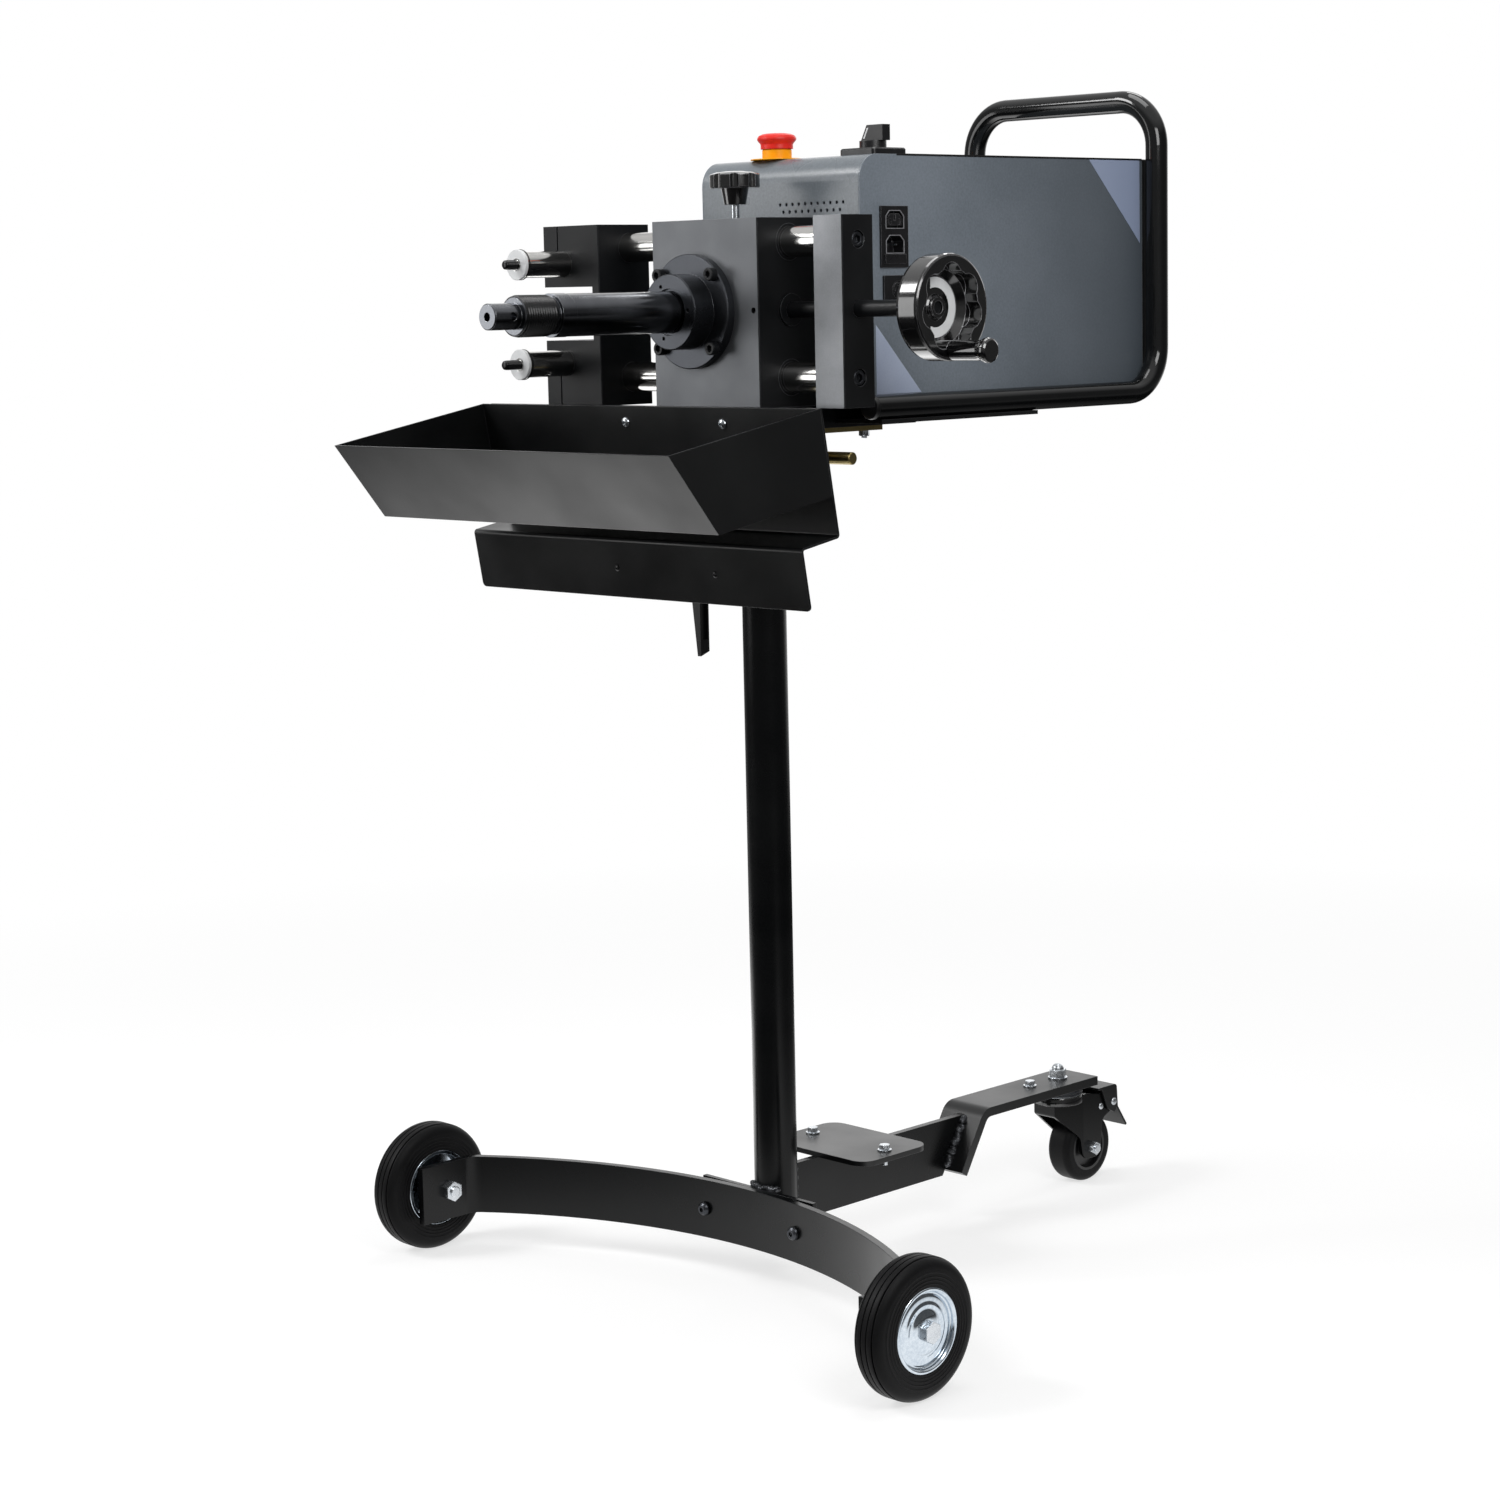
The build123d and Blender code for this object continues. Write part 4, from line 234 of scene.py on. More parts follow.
# Pale edges here are painted highlights: streaks along the lobes and the finger pockets.
phenolic_with_painted_highlights = finish("polished_phenolic_with_painted_edge_highlights", "#070708", "#0d0d0e", 0.14, cloud_mm=30,
                        grain_mm=5.0, grain_um=3, spread=0.04, edge="#c4c4c9", round_mm=1.3,
                        fixed=phenolic_gloss)
# The lips' pale grey is a painted highlight on black nylon.
socket_lip_painted_highlight = finish("black_nylon_lip_painted_highlight", "#808084", "#949498", 0.32, cloud_mm=9, grain_mm=0.8, grain_um=5)
yellow_abs = finish("moulded_yellow_abs", "#f5a108", "#fbb012", 0.4, cloud_mm=12, grain_mm=0.8, grain_um=4,
                    edge="#fbc64a", round_mm=0.5, fixed={"Specular IOR Level": 0.2})
red_abs = finish("moulded_red_abs", "#dc241d", "#e6332a", 0.34, cloud_mm=14, grain_mm=0.8, grain_um=3,
                 edge="#f07a70", round_mm=0.6, fixed={"Specular IOR Level": 0.3})
white_nylon = finish("turned_white_nylon", "#d4d6d7", "#e4e5e6", 0.4, cloud_mm=10, grain_mm=0.6, grain_um=4)
print("plastics:", tyre_rubber.name, black_nylon.name, polished_phenolic.name)

# %% [markdown]
# ## A finish for every solid
# The record lists which material slot each solid has. A slot gives the usual finish, and a few solids that
# look different in the photograph get their own.

# %% Dress the solids
slot_finish = {
    "black_powder_coat": powder_coat, "slate_paint": slate_paint, "zinc_plated_steel": zinc_plate,
    "yellow_zinc_steel": yellow_zinc, "black_oxide_steel": black_oxide, "ground_steel": ground_rod,
    "tyre_rubber": tyre_rubber, "black_plastic": black_nylon, "gloss_black_plastic": polished_phenolic,
    "yellow_plastic": yellow_abs, "red_plastic": red_abs, "bronze": bush_bronze, "motor_aluminium": cast_aluminium,
}
own_finish = {
    **dict.fromkeys(("front_bar", "rear_beam", "joint_plate", "mast_tube", "caster_fork"), trolley_coat),
    **dict.fromkeys(("side_panel_left", "side_panel_right"), slate_with_painted_rear_shade),
    **dict.fromkeys(("left_rim", "right_rim"), bright_pressing),
    **dict.fromkeys(("bearing_flange", "bar_bolts"), dark_steel),
    **dict.fromkeys(("lock_knob", "handwheel"), phenolic_with_painted_highlights),
    **dict.fromkeys(("power_module", "signal_socket", "fuse_drawer"), socket_nylon),
    "rail_frame": tube_gloss, "spindle": polished_shaft, "head_block": block_with_painted_lit_front, "end_plate": brushed_plate_with_painted_lit_front,
}
solids = frame["record"]["subparts"]
for solid in solids:
    coats = frame["nodes"][solid["node"]].data.materials
    coats.clear()
    coats.append(own_finish.get(solid["node"], slot_finish[solid["material_slot"]]))
print("dressed", len(solids), "solids with", len({*slot_finish.values(), *own_finish.values()}), "finishes")

# %% [markdown]
# ## Surfaces from rings
# Every added piece is a surface over a grid: rings of points that follow each other, closed at both ends.
# Fasteners and threads are turned, so their rings are circles or hexagons around an axis, and welds are
# rings carried along a path. Working out all points as one array is quicker than adding vertices one by
# one, and the formula stays visible. Sizes are in millimetres from the mast's foot, as on the drawing, and
# turned to metres in the object's own frame at the end.

# %% Rings to meshes
middle_y = 105.0  # from the mast's foot to the middle of the object, where its own frame starts


def unit(vector):
    """The vector over its length."""
    return np.array(vector, float) / np.linalg.norm(vector)


def turned(rows, start, axis, sides=48):
    """Rings of (radius, along, flats): a circle, or for k flats a polygon with the radius at angle t of
    radius / cos(((t + pi / k) mod (2 pi / k)) - pi / k)."""
    rows = np.array([(*row, 0)[:3] for row in rows], float)
    axis = unit(axis)
    across = unit(np.cross(axis, (0.0, 0.0, 1.0) if abs(axis[2]) < 0.9 else (1.0, 0.0, 0.0)))
    upward = np.cross(axis, across)
    turn = np.linspace(0, 2 * np.pi, sides, endpoint=False)
    step = 2 * np.pi / np.maximum(rows[:, 2:3], 1)
    polygon = 1 / np.cos((turn + step / 2) % step - step / 2)
    reach = rows[:, :1] * np.where(rows[:, 2:3] > 0, polygon, 1)
    circle = np.cos(turn)[:, None] * across + np.sin(turn)[:, None] * upward
    return np.array(start, float) + rows[:, 1, None, None] * axis + reach[..., None] * circle


def piece(name, surfaces, finish_used, body, sharp_deg=35):
    """One mesh from ring grids: quads between rings, then a fan at each end, or none where the last ring is the
    first again. The sign of the volume turns the faces outwards."""
    points, quads, fans, first = [], [], [], 0
    for rings in surfaces:
        loop = np.allclose(rings[0], rings[-1])
        rings = rings[:-1] if loop else rings
        count, around = rings.shape[:2]
        ids = first + np.arange(count * around).reshape(count, around)
        ends = first + count * around
        tips = rings[:0, 0] if loop else np.stack([rings[0].mean(0), rings[-1].mean(0)])
        grid = np.concatenate([rings.reshape(-1, 3), tips])
        low = ids if loop else ids[:-1]
        high = np.roll(ids, -1, axis=0) if loop else ids[1:]
        walls = np.stack([low, np.roll(low, -1, 1), np.roll(high, -1, 1), high], axis=-1).reshape(-1, 4)
        near = np.stack([np.full(around, ends), np.roll(ids[0], -1), ids[0]], axis=-1)
        far = np.stack([np.full(around, ends + 1), ids[-1], np.roll(ids[-1], -1)], axis=-1)
        near, far = (near[:0], far[:0]) if loop else (near, far)
        three = np.concatenate([near, far, walls[:, :3], walls[:, [0, 2, 3]]]) - first
        volume = np.einsum("ij,ij->i", grid[three[:, 0]], np.cross(grid[three[:, 1]], grid[three[:, 2]])).sum()
        way = 1 if volume > 0 else -1
        quads.append(walls[:, ::way])
        fans.append(np.concatenate([near, far])[:, ::way])
        points.append(grid)
        first += len(grid)
    spots = (np.concatenate(points) - (0, middle_y, 0)) / 1000
    mesh = bpy.data.meshes.new(name)
    mesh.from_pydata(spots.tolist(), [], np.concatenate(quads).tolist() + np.concatenate(fans).tolist())
    mesh.shade_smooth()
    mesh.set_sharp_from_angle(angle=np.radians(sharp_deg))
    mesh.materials.append(finish_used)
    made = bpy.data.objects.new(name, mesh)
    bpy.context.scene.collection.objects.link(made)
    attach(made, body)
    print(name, len(surfaces), "surfaces", len(spots), "points on", body)


LEFT, RIGHT, FRONT, REAR, UP, DOWN = (-1, 0, 0), (1, 0, 0), (0, -1, 0), (0, 1, 0), (0, 0, 1), (0, 0, -1)

# %% [markdown]
# ## Cap screws
# The bearing flange is held by four socket cap screws, and the end plate by one in each counterbore. A cap
# screw is a turned head with a hexagon pocket: the rings go up the outside as circles, cross the top and go
# down the pocket as hexagons. One list of rows does both, where boolean cuts would leave long thin faces.

# %% Cap screws
spindle_x, spindle_z, rod_y = -15.0, 1001.5, -28.7
rod_rise, post_rise = 65.75, 50.5  # of rods and tool posts, above and below the spindle
flange_y, counterbore_x, tool_block_x = -82.1, 157.45, -242.3  # where the heads sit


def cap_screw(diameter, height, key, start, axis):
    """Head rows: cylinder, small chamfer, then a hexagon pocket of half the height."""
    r = diameter / 2
    return turned([(r, 0), (r, height - 0.7), (r - 0.7, height), (key / 2 + 0.5, height, 6),
                   (key / 2, height - 0.4, 6), (key / 2, height * 0.5, 6), (key / 2 * 0.4, height * 0.42)],
                  start, axis)


flange_spots = [(spindle_x + x, flange_y, spindle_z + z) for x, z in ((-37, -36), (37, -36), (37, 36), (-37, 36))]
piece("flange_cap_screws", [cap_screw(13, 8, 6, spot, FRONT) for spot in flange_spots],
      black_oxide, "head")
rod_spots = [(counterbore_x, rod_y, spindle_z + rise) for rise in (-rod_rise, rod_rise)]
piece("end_plate_screws", [cap_screw(15, 9.4, 8, spot, RIGHT) for spot in rod_spots],
      dark_steel, "carriage")
clamp_spots = [(tool_block_x, -40, spindle_z + rise) for rise in (-post_rise, post_rise)]
piece("clamp_screws", [cap_screw(10, 6, 5, spot, LEFT) for spot in clamp_spots],
      dark_steel, "carriage")

# %% [markdown]
# ## Sheet metal fasteners
# The tray hangs on two button head screws through its rear wall, and two blind rivets show on the apron's
# lip. Both lean with the sheet by ten degrees. The rear panel is held by six small button heads.

# %% Button heads and rivets
lean = np.radians(10)
lean_front = (0, -np.cos(lean), -np.sin(lean))
wall_y, wall_z, lip_y, lip_z, rear_y = -74.2, 891, -99.0, 745, 467  # tray wall, apron lip, rear panel


def button(diameter, height, key, start, axis):
    """Dome rows: radius falls with the height as a quarter circle, then a small pocket."""
    t = np.linspace(0, 1.15, 6)
    dome = np.stack([diameter / 2 * np.cos(t), height * np.sin(t), 0 * t], axis=-1)
    pocket = [(key / 2, height * 0.93, 6), (key / 2, height * 0.45, 6), (key / 5, height * 0.4)]
    return turned([*dome.tolist(), *pocket], start, axis)


piece("tray_screws", [button(11, 3, 4, (x, wall_y, wall_z), lean_front) for x in (-120, 22)],
      zinc_plate, "head")
piece("lip_rivets", [button(7, 1.6, 2, (x, lip_y, lip_z), lean_front) for x in (-111, 33)],
      powder_coat, "head")
panel_spots = [(x, rear_y, z) for x in (-95, 4.3, 103) for z in (922, 1138)]
piece("rear_panel_screws", [button(8, 2.2, 3, spot, REAR) for spot in panel_spots],
      zinc_plate, "head")

# %% [markdown]
# ## Threads
# The spindle's threaded end and the tool studs carry visible threads. A thread is a cylinder whose radius
# is a triangle wave of the distance along it, shifted by one pitch per turn, so the grid itself is a true
# helix. A modifier with a screw could do it too, but here the pitch is one number.


# %% Threads
def thread(root, crest, pitch, start, axis, length, sides=40):
    """Radius = root + (crest - root) * triangle(along / pitch - turn), faded to the root at both ends."""
    rows = int(length / pitch * 6) + 1
    along = np.linspace(0, length, rows)
    rings = turned([(1.0, s, 0) for s in along], start, axis, sides)
    centre = np.array(start, float) + along[:, None, None] * unit(axis)
    phase = along[:, None] / pitch - np.arange(sides) / sides
    wave = 1 - np.abs(2 * (phase % 1) - 1)
    fade = np.clip(np.minimum(along, length - along) / pitch, 0, 1)[:, None]
    radius = root + (crest - root) * wave * fade
    return centre + (rings - centre) * radius[..., None]


spindle_face_y, thread_from = -72.6, 193.6
thread_start = (spindle_x, spindle_face_y - thread_from, spindle_z)
piece("spindle_thread_rings", [thread(19.02, 19.9, 3.0, thread_start, FRONT, 39.8, 64)],
      oiled_thread, "spindle", 60)
post_x, post_y, disc_face = -212.3, -72.2, 62.9
post_heights = {"upper": spindle_z + post_rise, "lower": spindle_z - post_rise}
stud_ends = {"upper": 78.7, "lower": 83.2}
unthreaded = 64.4  # of a stud, up to its disc's face and at its point
for name, z in post_heights.items():
    end = stud_ends[name]
    point = turned([(4.56, end - 2.0), (4.56, end - 0.9), (3.6, end + 0.1)], (post_x, post_y, z), FRONT)
    rings = thread(4.52, 5.0, 1.5, (post_x, post_y - disc_face, z), FRONT, end - unthreaded)
    piece(name + "_stud_thread", [rings, point], oiled_thread, name + "_post", 60)

# %% [markdown]
# ## White discs on the tool posts
# Each tool post ends in a white nylon washer with a recess for the cutting tool. The solid has the form, and
# a thin turned skin over it gives the white. A dark ring lies in the groove behind the disc.

# %% Post discs
disc_rows = [(13.6, 59.7), (15.55, 59.7), (15.55, 62.4), (15.1, disc_face), (6.6, disc_face), (6.2, 62.5),
             (6.2, 60.0), (5.05, 60.0)]
groove_rows = [(15.2, 56.9), (15.62, 56.9), (15.62, 58.2), (15.2, 58.2), (15.2, 56.9)]
for name, z in post_heights.items():
    post, body = (post_x, post_y, z), name + "_post"
    piece(name + "_post_disc", [turned(disc_rows, post, FRONT)], white_nylon, body)
    piece(name + "_post_groove", [turned(groove_rows, post, FRONT)], tyre_rubber, body)

# %% [markdown]
# ## Nuts and bolt heads
# The solids have plain hexagons. Real nuts are chamfered where the hexagon meets the top, which gives them
# a bright ring. A thin chamfered skin sits over each one. The caster's stem carries a domed nut.


# %% Nuts and bolts
def chamfered(across, height, start, axis, dome=0.0, bore=0.0):
    """Hexagon rows with a 30 degree chamfer to a circle, then a dome or a threaded end."""
    a = across / 2
    rows = [(a, 0, 6), (a, height - 0.16 * a, 6), (a * 0.97, height)]
    if dome:
        t = np.linspace(0, 1.35, 7)
        rows += np.stack([a * 0.82 * np.cos(t), height + dome * np.sin(t), 0 * t], axis=-1).tolist()
    if bore:
        rows += [(bore, height), (bore, height + 1.6), (bore - 0.8, height + 2.2)]
    return turned(rows, start, axis)


axle_y, axle_z, stem_y = -176, 68.5, 453.5
piece("stem_dome_nut", [chamfered(17.2, 9.1, (0, stem_y, 127.2), UP, dome=6.5)],
      zinc_plate, "trolley")
frame_spots = [(-53, 109, 123.4), (53, 109, 123.4), (0, 405, 126.7)]
piece("frame_bolt_heads", [chamfered(10.2, 5.15, spot, UP) for spot in frame_spots],
      zinc_plate, "trolley")
piece("axle_nuts", [chamfered(19.2, 7.6, (side * 322, axle_y, axle_z), (-side, 0, 0), bore=5.9)
                    for side in (-1, 1)],
      zinc_plate, "trolley")
piece("axle_heads", [chamfered(19.2, 7.6, (side * 374.3, axle_y, axle_z), (side, 0, 0)) for side in (-1, 1)],
      zinc_plate, "trolley")
piece("caster_axle_nuts", [chamfered(13.2, 7.1, (side * 19.6, 490, 40), (side, 0, 0), bore=4.9)
                           for side in (-1, 1)],
      zinc_plate, "caster")
piece("pivot_plate_nuts", [chamfered(10, 6, (x, y, 879), DOWN, bore=2.9)
                           for x in (-64, 64) for y in (-48, 84)],
      zinc_plate, "head")
piece("brake_rivets", [button(9, 2.2, 1, (side * 23, 525.5, 87.9), (side, 0, 0)) for side in (-1, 1)],
      zinc_plate, "caster_brake")
piece("fork_rivets", [button(8, 2.0, 1, (side * 19.5, 506.7, 85.4), (side, 0, 0)) for side in (-1, 1)],
      zinc_plate, "caster")

# %% [markdown]
# ## Pressed rims and tyre walls
# Each front wheel has a pressed and zinc plated rim: a rolled lip, a deep groove, a raised ring and a dome
# under the axle bolt. The press leaves no sharp edge, so the profile is averaged along its length before it
# is turned. The tyre's side walls carry fine moulded ribs. Both are thin skins over the solids: the profile
# goes out over the face and comes back just below it, so it closes on itself.


# %% Rims and tyre walls
def rolled(profile, step=0.6, reach=5):
    """Points every step along the profile, each the mean of its neighbours within reach steps."""
    corners = np.array(profile, float)
    s = np.concatenate([[0], np.cumsum(np.linalg.norm(np.diff(corners, axis=0), axis=1))])
    t = np.arange(0, s[-1] + step, step)
    line = [np.interp(t, s, corners[:, k]) for k in (0, 1)]
    longer = np.pad(line, ((0, 0), (reach // 2, reach // 2)), mode="edge")
    means = [np.convolve(row, np.ones(reach) / reach, "valid") for row in longer]
    return [tuple(spot) for spot in np.stack(means, axis=-1)]


def skin(front, depth):
    """Closed profile: out along the front, back along the same line shifted by the depth."""
    return [*front, *[(r, along - depth) for r, along in front[::-1]], front[0]]


pressed = rolled([(41.2, 14.5), (41.2, 16.7), (39.9, 17.6), (38.2, 17.6), (36.9, 16.6), (36.2, 13.2), (35.0, 12.5),
                  (33.9, 12.9), (32.6, 13.7), (29.8, 13.9), (26.6, 13.9), (24.6, 15.1), (23.2, 14.9), (21.8, 14.5),
                  (19.2, 14.8), (15.3, 16.3), (12.3, 17.0), (10.8, 17.2), (7.5, 17.2)])
wall_radius = np.linspace(41.4, 57.2, 80)
ribs = 0.55 * np.clip(np.cos(2 * np.pi * (wall_radius - 44) / 3.4), 0, 1) ** 3 * (wall_radius < 52.2)
ribbed = list(zip(wall_radius.tolist(), (17.1 + ribs + 0.4 * (np.abs(wall_radius - 55) < 0.8)).tolist()))
for name, side in (("left", -1), ("right", 1)):
    hub = (side * 357, axle_y, axle_z)
    piece(name + "_rim_face", [turned(skin(pressed, 0.7), hub, (side, 0, 0), 96)], bright_pressing,
          name + "_wheel", 50)
    piece(name + "_tyre_ribs", [turned(skin(ribbed, 0.6), hub, (way, 0, 0), 96) for way in (-1, 1)],
          tyre_rubber, name + "_wheel", 50)

# %% [markdown]
# ## Caster bearing and knob stem
# The caster swivels on a ball race between two pressed rings, which show as dark tiers under the bracket. The
# star knob's stud passes a plain zinc sleeve, and a thin yellow plate lies under the emergency stop. All are
# closed rings around the vertical.

# %% Rings around the vertical
tiers = [(24, 0.4), (27.3, 0.4), (27.9, 1.0), (27.9, 2.6), (27.2, 3.0), (27.2, 3.6), (27.9, 4.0), (27.9, 6.2),
         (27.3, 6.8), (24, 6.8), (24, 0.4)]
piece("caster_race_tiers", [turned(tiers, (0, stem_y, 108.2), UP, 72)],
      dark_steel, "trolley")
cover = [(25, 0.3), (27.4, 0.3), (28.4, 1.2), (28.6, 7.8), (27.6, 9.6), (25, 9.6), (25, 0.3)]
piece("caster_race_cover", [turned(cover, (0, stem_y, 98.0), UP, 72)],
      polished_phenolic, "caster")
sleeve = [(3.45, 0), (4.0, 0), (4.0, 14.3), (3.45, 14.3), (3.45, 0)]
stop_plate = [(15.3, 0.1), (27.0, 0.1), (27.0, 0.9), (26.6, 1.2), (15.3, 1.2), (15.3, 0.1)]
piece("estop_plate", [turned(stop_plate, (-30, 61, 1151.3), UP, 72)], yellow_abs, "head")
piece("knob_stud_sleeve", [turned(sleeve, (0, rod_y, 1090.9), UP)], zinc_plate, "lock")

# %% [markdown]
# ## Rim of the rear cover
# Sheet covers have a folded rim for stiffness. The photograph shows the rear one as a dark band between the
# side panel and the handle tube. Four rectangles, one per corner of the rim's section, make it.

# %% Rear cover rim
rim_left, rim_right, rim_low, rim_high = -107.1, 115.6, 907.2, 1151.2
rim_front, rim_rear, rim_wall = 467.1, 474.3, 3.0
rim_corners = np.array([(rim_left, rim_low), (rim_right, rim_low), (rim_right, rim_high), (rim_left, rim_high)])
inward = np.array([(1, 1), (-1, 1), (-1, -1), (1, -1)])
rim_section = np.array([(0.0, rim_front), (0.0, rim_rear), (rim_wall, rim_rear), (rim_wall, rim_front),
                        (0.0, rim_front)])
loops = rim_corners[None] + rim_section[:, :1, None] * inward[None]
depth = np.repeat(rim_section[:, 1:], len(rim_corners), axis=1)
rim = np.stack([loops[..., 0], depth, loops[..., 1]], axis=-1)
piece("rear_cover_rim", [rim], powder_coat, "head")

# %% [markdown]
# ## Socket lips
# The outlet and the inlet have a raised lip of six sides, the outline of a mains socket with two cut corners.
# Each lip is a closed loop of the outline, scaled a little for every corner of the lip's section.

# %% Socket lips
wide, tall, cut_wide, cut_tall = 12.3, 8.2, 7.3, 3.2
lip_foot, lip_top, socket_y, socket_heights = 118.25, 118.8, 75.5, (1063.2, 1087.4)
outline = np.array([(-wide, -tall), (wide, -tall), (wide, cut_tall), (cut_wide, tall), (-cut_wide, tall),
                    (-wide, cut_tall)])
lip_section = np.array([(0.1, lip_foot), (1.0, lip_foot), (0.8, lip_top), (0.3, lip_top), (0.1, lip_foot)])
loops = outline[None] * (1 + lip_section[:, :1, None] / (wide, tall))
depth = np.repeat(lip_section[:, 1:], len(outline), axis=1)
lips = [np.stack([depth, socket_y + loops[..., 0], z + loops[..., 1]], axis=-1) for z in socket_heights]
# Their pale grey is a painted highlight along the lip.
piece("socket_lips", lips, socket_lip_painted_highlight, "head")

# %% [markdown]
# ## Tube plugs and socket pins
# The two rails end in moulded plugs with a rounded face. The power inlet has three pins, whose rings
# are squares: polygons of four flats.

# %% Plugs and pins
plug_rows = [(9.9, 0), (9.9, 8), (11.9, 8), (11.9, 10.2), (11.2, 12.2), (9.0, 13.4), (5.0, 14.0)]
piece("rail_plugs", [turned(plug_rows, (side * 129.5, 35, 904.5), FRONT) for side in (-1, 1)],
      black_nylon, "head")
blade = [(1.0, 0, 4), (1.0, 9.2, 4), (0.6, 10, 4)]
blade_spots = [(104.1, socket_y + 7, 1063.0), (104.1, socket_y - 7, 1063.0), (104.1, socket_y, 1066.0)]
piece("inlet_blades", [turned(blade, spot, RIGHT, 16) for spot in blade_spots],
      zinc_plate, "head")

# %% [markdown]
# ## Welds
# The mast is welded to the joint plate and the beam, and the beam to the caster bracket. A weld is a round
# bead with ripples where the pool froze: rings along a path, with a radius that swells once per ripple.


# %% Weld beads
def bead(path, radius, ripple_mm=3.2, sides=14):
    """Rings along straight runs between points; radius = r * (ripples |sin(pi s / ripple)| + wander) * lumps."""
    path = np.array(path, float)
    runs = np.linalg.norm(np.diff(path, axis=0), axis=1)
    s = np.concatenate([[0], np.cumsum(runs)])
    t = np.linspace(0, s[-1], int(s[-1] / ripple_mm * 6) + 2)
    line = np.stack([np.interp(t, s, path[:, k]) for k in range(3)], axis=-1)
    ahead = np.gradient(line, axis=0)
    ahead /= np.linalg.norm(ahead, axis=1, keepdims=True)
    across = np.cross(ahead, (0.31, 0.17, 0.94))  # with a direction that no bead follows
    across /= np.linalg.norm(across, axis=1, keepdims=True)
    over = np.cross(ahead, across)
    turn = np.linspace(0, 2 * np.pi, sides, endpoint=False)
    swell = 0.88 + 0.3 * np.abs(np.sin(np.pi * t / ripple_mm)) + 0.08 * np.sin(t * 0.7) + 0.05 * np.sin(t * 1.9)
    ends = np.sqrt(np.clip(np.minimum(t, s[-1] - t) / radius, 0.02, 1))
    lumps = 1 + 0.16 * np.sin(2 * turn[None, :] + 2.3 * t[:, None] / ripple_mm)
    size = ((radius * swell * ends)[:, None] * lumps)[..., None]
    ring = np.cos(turn)[None, :, None] * across[:, None] + np.sin(turn)[None, :, None] * over[:, None]
    return line[:, None] + size * ring


mast_weld_radius, mast_weld_z = 23.2, 99.6
around_mast = np.linspace(-1.0, 1.0, 30)
mast_foot = np.stack([mast_weld_radius * np.sin(around_mast), -mast_weld_radius * np.cos(around_mast),
                      np.full_like(around_mast, mast_weld_z)], axis=-1)
slant = np.tan(np.radians(31))
beam_end = [(290 - (116.4 - z) * slant, z) for z in (62, 116)]
welds = [bead(mast_foot, 3.6, 4.4)]
welds += [bead([(side * 5.0, y, z) for y, z in beam_end], 5.0, 5.2) for side in (-1, 1)]
welds += [bead([(side * 4.6, 23.4, z) for z in (56, 115)], 2.8, 3.6) for side in (-1, 1)]
piece("weld_beads", welds, weld_coat, "trolley", 60)

# %% [markdown]
# ## Flat marks
# The hub of the handwheel carries a white half ring, the switch a white pointer, and the right panel two plain
# lavender triangles, darkened towards the rear as painted shade, and a black strip along its top edge. These are
# thin films: sheets over a small grid, given a thickness by a Solidify modifier.


# %% Films
def film(name, grid, finish_used, body, thickness_mm=0.25):
    """An open sheet over rows and columns of points, thickened to both sides."""
    rows, columns = grid.shape[:2]
    ids = np.arange(rows * columns).reshape(rows, columns)
    faces = np.stack([ids[:-1, :-1], ids[:-1, 1:], ids[1:, 1:], ids[1:, :-1]], axis=-1).reshape(-1, 4)
    normal = np.cross(grid[-1, -1] - grid[0, 0], grid[-1, 0] - grid[0, -1])
    mesh = bpy.data.meshes.new(name)
    mesh.from_pydata(((grid.reshape(-1, 3) - (0, middle_y, 0)) / 1000).tolist(), [], faces[:, ::-1].tolist())
    mesh.materials.append(finish_used)
    made = bpy.data.objects.new(name, mesh)
    bpy.context.scene.collection.objects.link(made)
    thick = made.modifiers.new("thickness", "SOLIDIFY")
    thick.thickness = thickness_mm / 1000
    thick.offset = 0
    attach(made, body)
    print(name, rows * columns, "points, facing", np.round(unit(normal), 1))


hub_face_x, panel_x = 265.6, 115.8
radius = np.linspace(18.6, 28.3, 4)[:, None]
reach = np.arccos(-6.5 / radius)
angle = reach * np.linspace(-1, 1, 49)[None, :]
half_ring = np.stack([np.full_like(angle, hub_face_x), rod_y + radius * np.cos(angle),
                      spindle_z + radius * np.sin(angle)], axis=-1)
film("hub_half_ring", half_ring, white_nylon, "feed")

pointer = np.array([[(79.0, 73.4, 1167.5), (81.0, 73.4, 1167.5)], [(84.4, 73.4, 1178.0), (86.4, 73.4, 1178.0)]])
film("switch_pointer", pointer, white_nylon, "switch")

top_dark_strip = np.array([[(panel_x, y, z) for y in (82.0, 466.5)] for z in (1149.9, 1151.9)])
film("panel_top_dark_strip", top_dark_strip, black_nylon, "head")

upper = np.array([[(377.4, 1151), (462.5, 1151)], [(462.9, 1062.8), (462.9, 1062.8)]])
lower = np.array([[(48.5, 985), (48.5, 985)], [(48.5, 916), (114, 916.5)]])
across = np.linspace(0, 1, 5)[:, None, None]
for name, spots in (("panel_upper_triangle", upper), ("panel_lower_triangle", lower)):
    rows = spots[0] + (spots[1] - spots[0]) * across
    sheet = np.concatenate([np.full((5, 2, 1), panel_x), rows], axis=-1)
    film(name, sheet, lavender_paint, "head")

# %% [markdown]
# ## Floor, light and camera
# The photograph was taken on white, with broad soft light from the upper left. A large area lamp gives that.
# A lamp overhead lights the tops, one in front shows as the bright patch in glossy faces, a strip behind draws
# thin lines along rods and tubes, and a weak lamp fills the right. The floor is pale and keeps a soft shadow: it
# is a dull white that also glows a little for the camera, so that it meets the white background.
#
# Black gloss shows the studio more than its own colour, so reflections have levels of their own. Glossy rays see
# white paper behind the object and under the tray, a pale ceiling, a dark room to the right and in front, and
# a painted shadow of the object on the floor at the right rear.

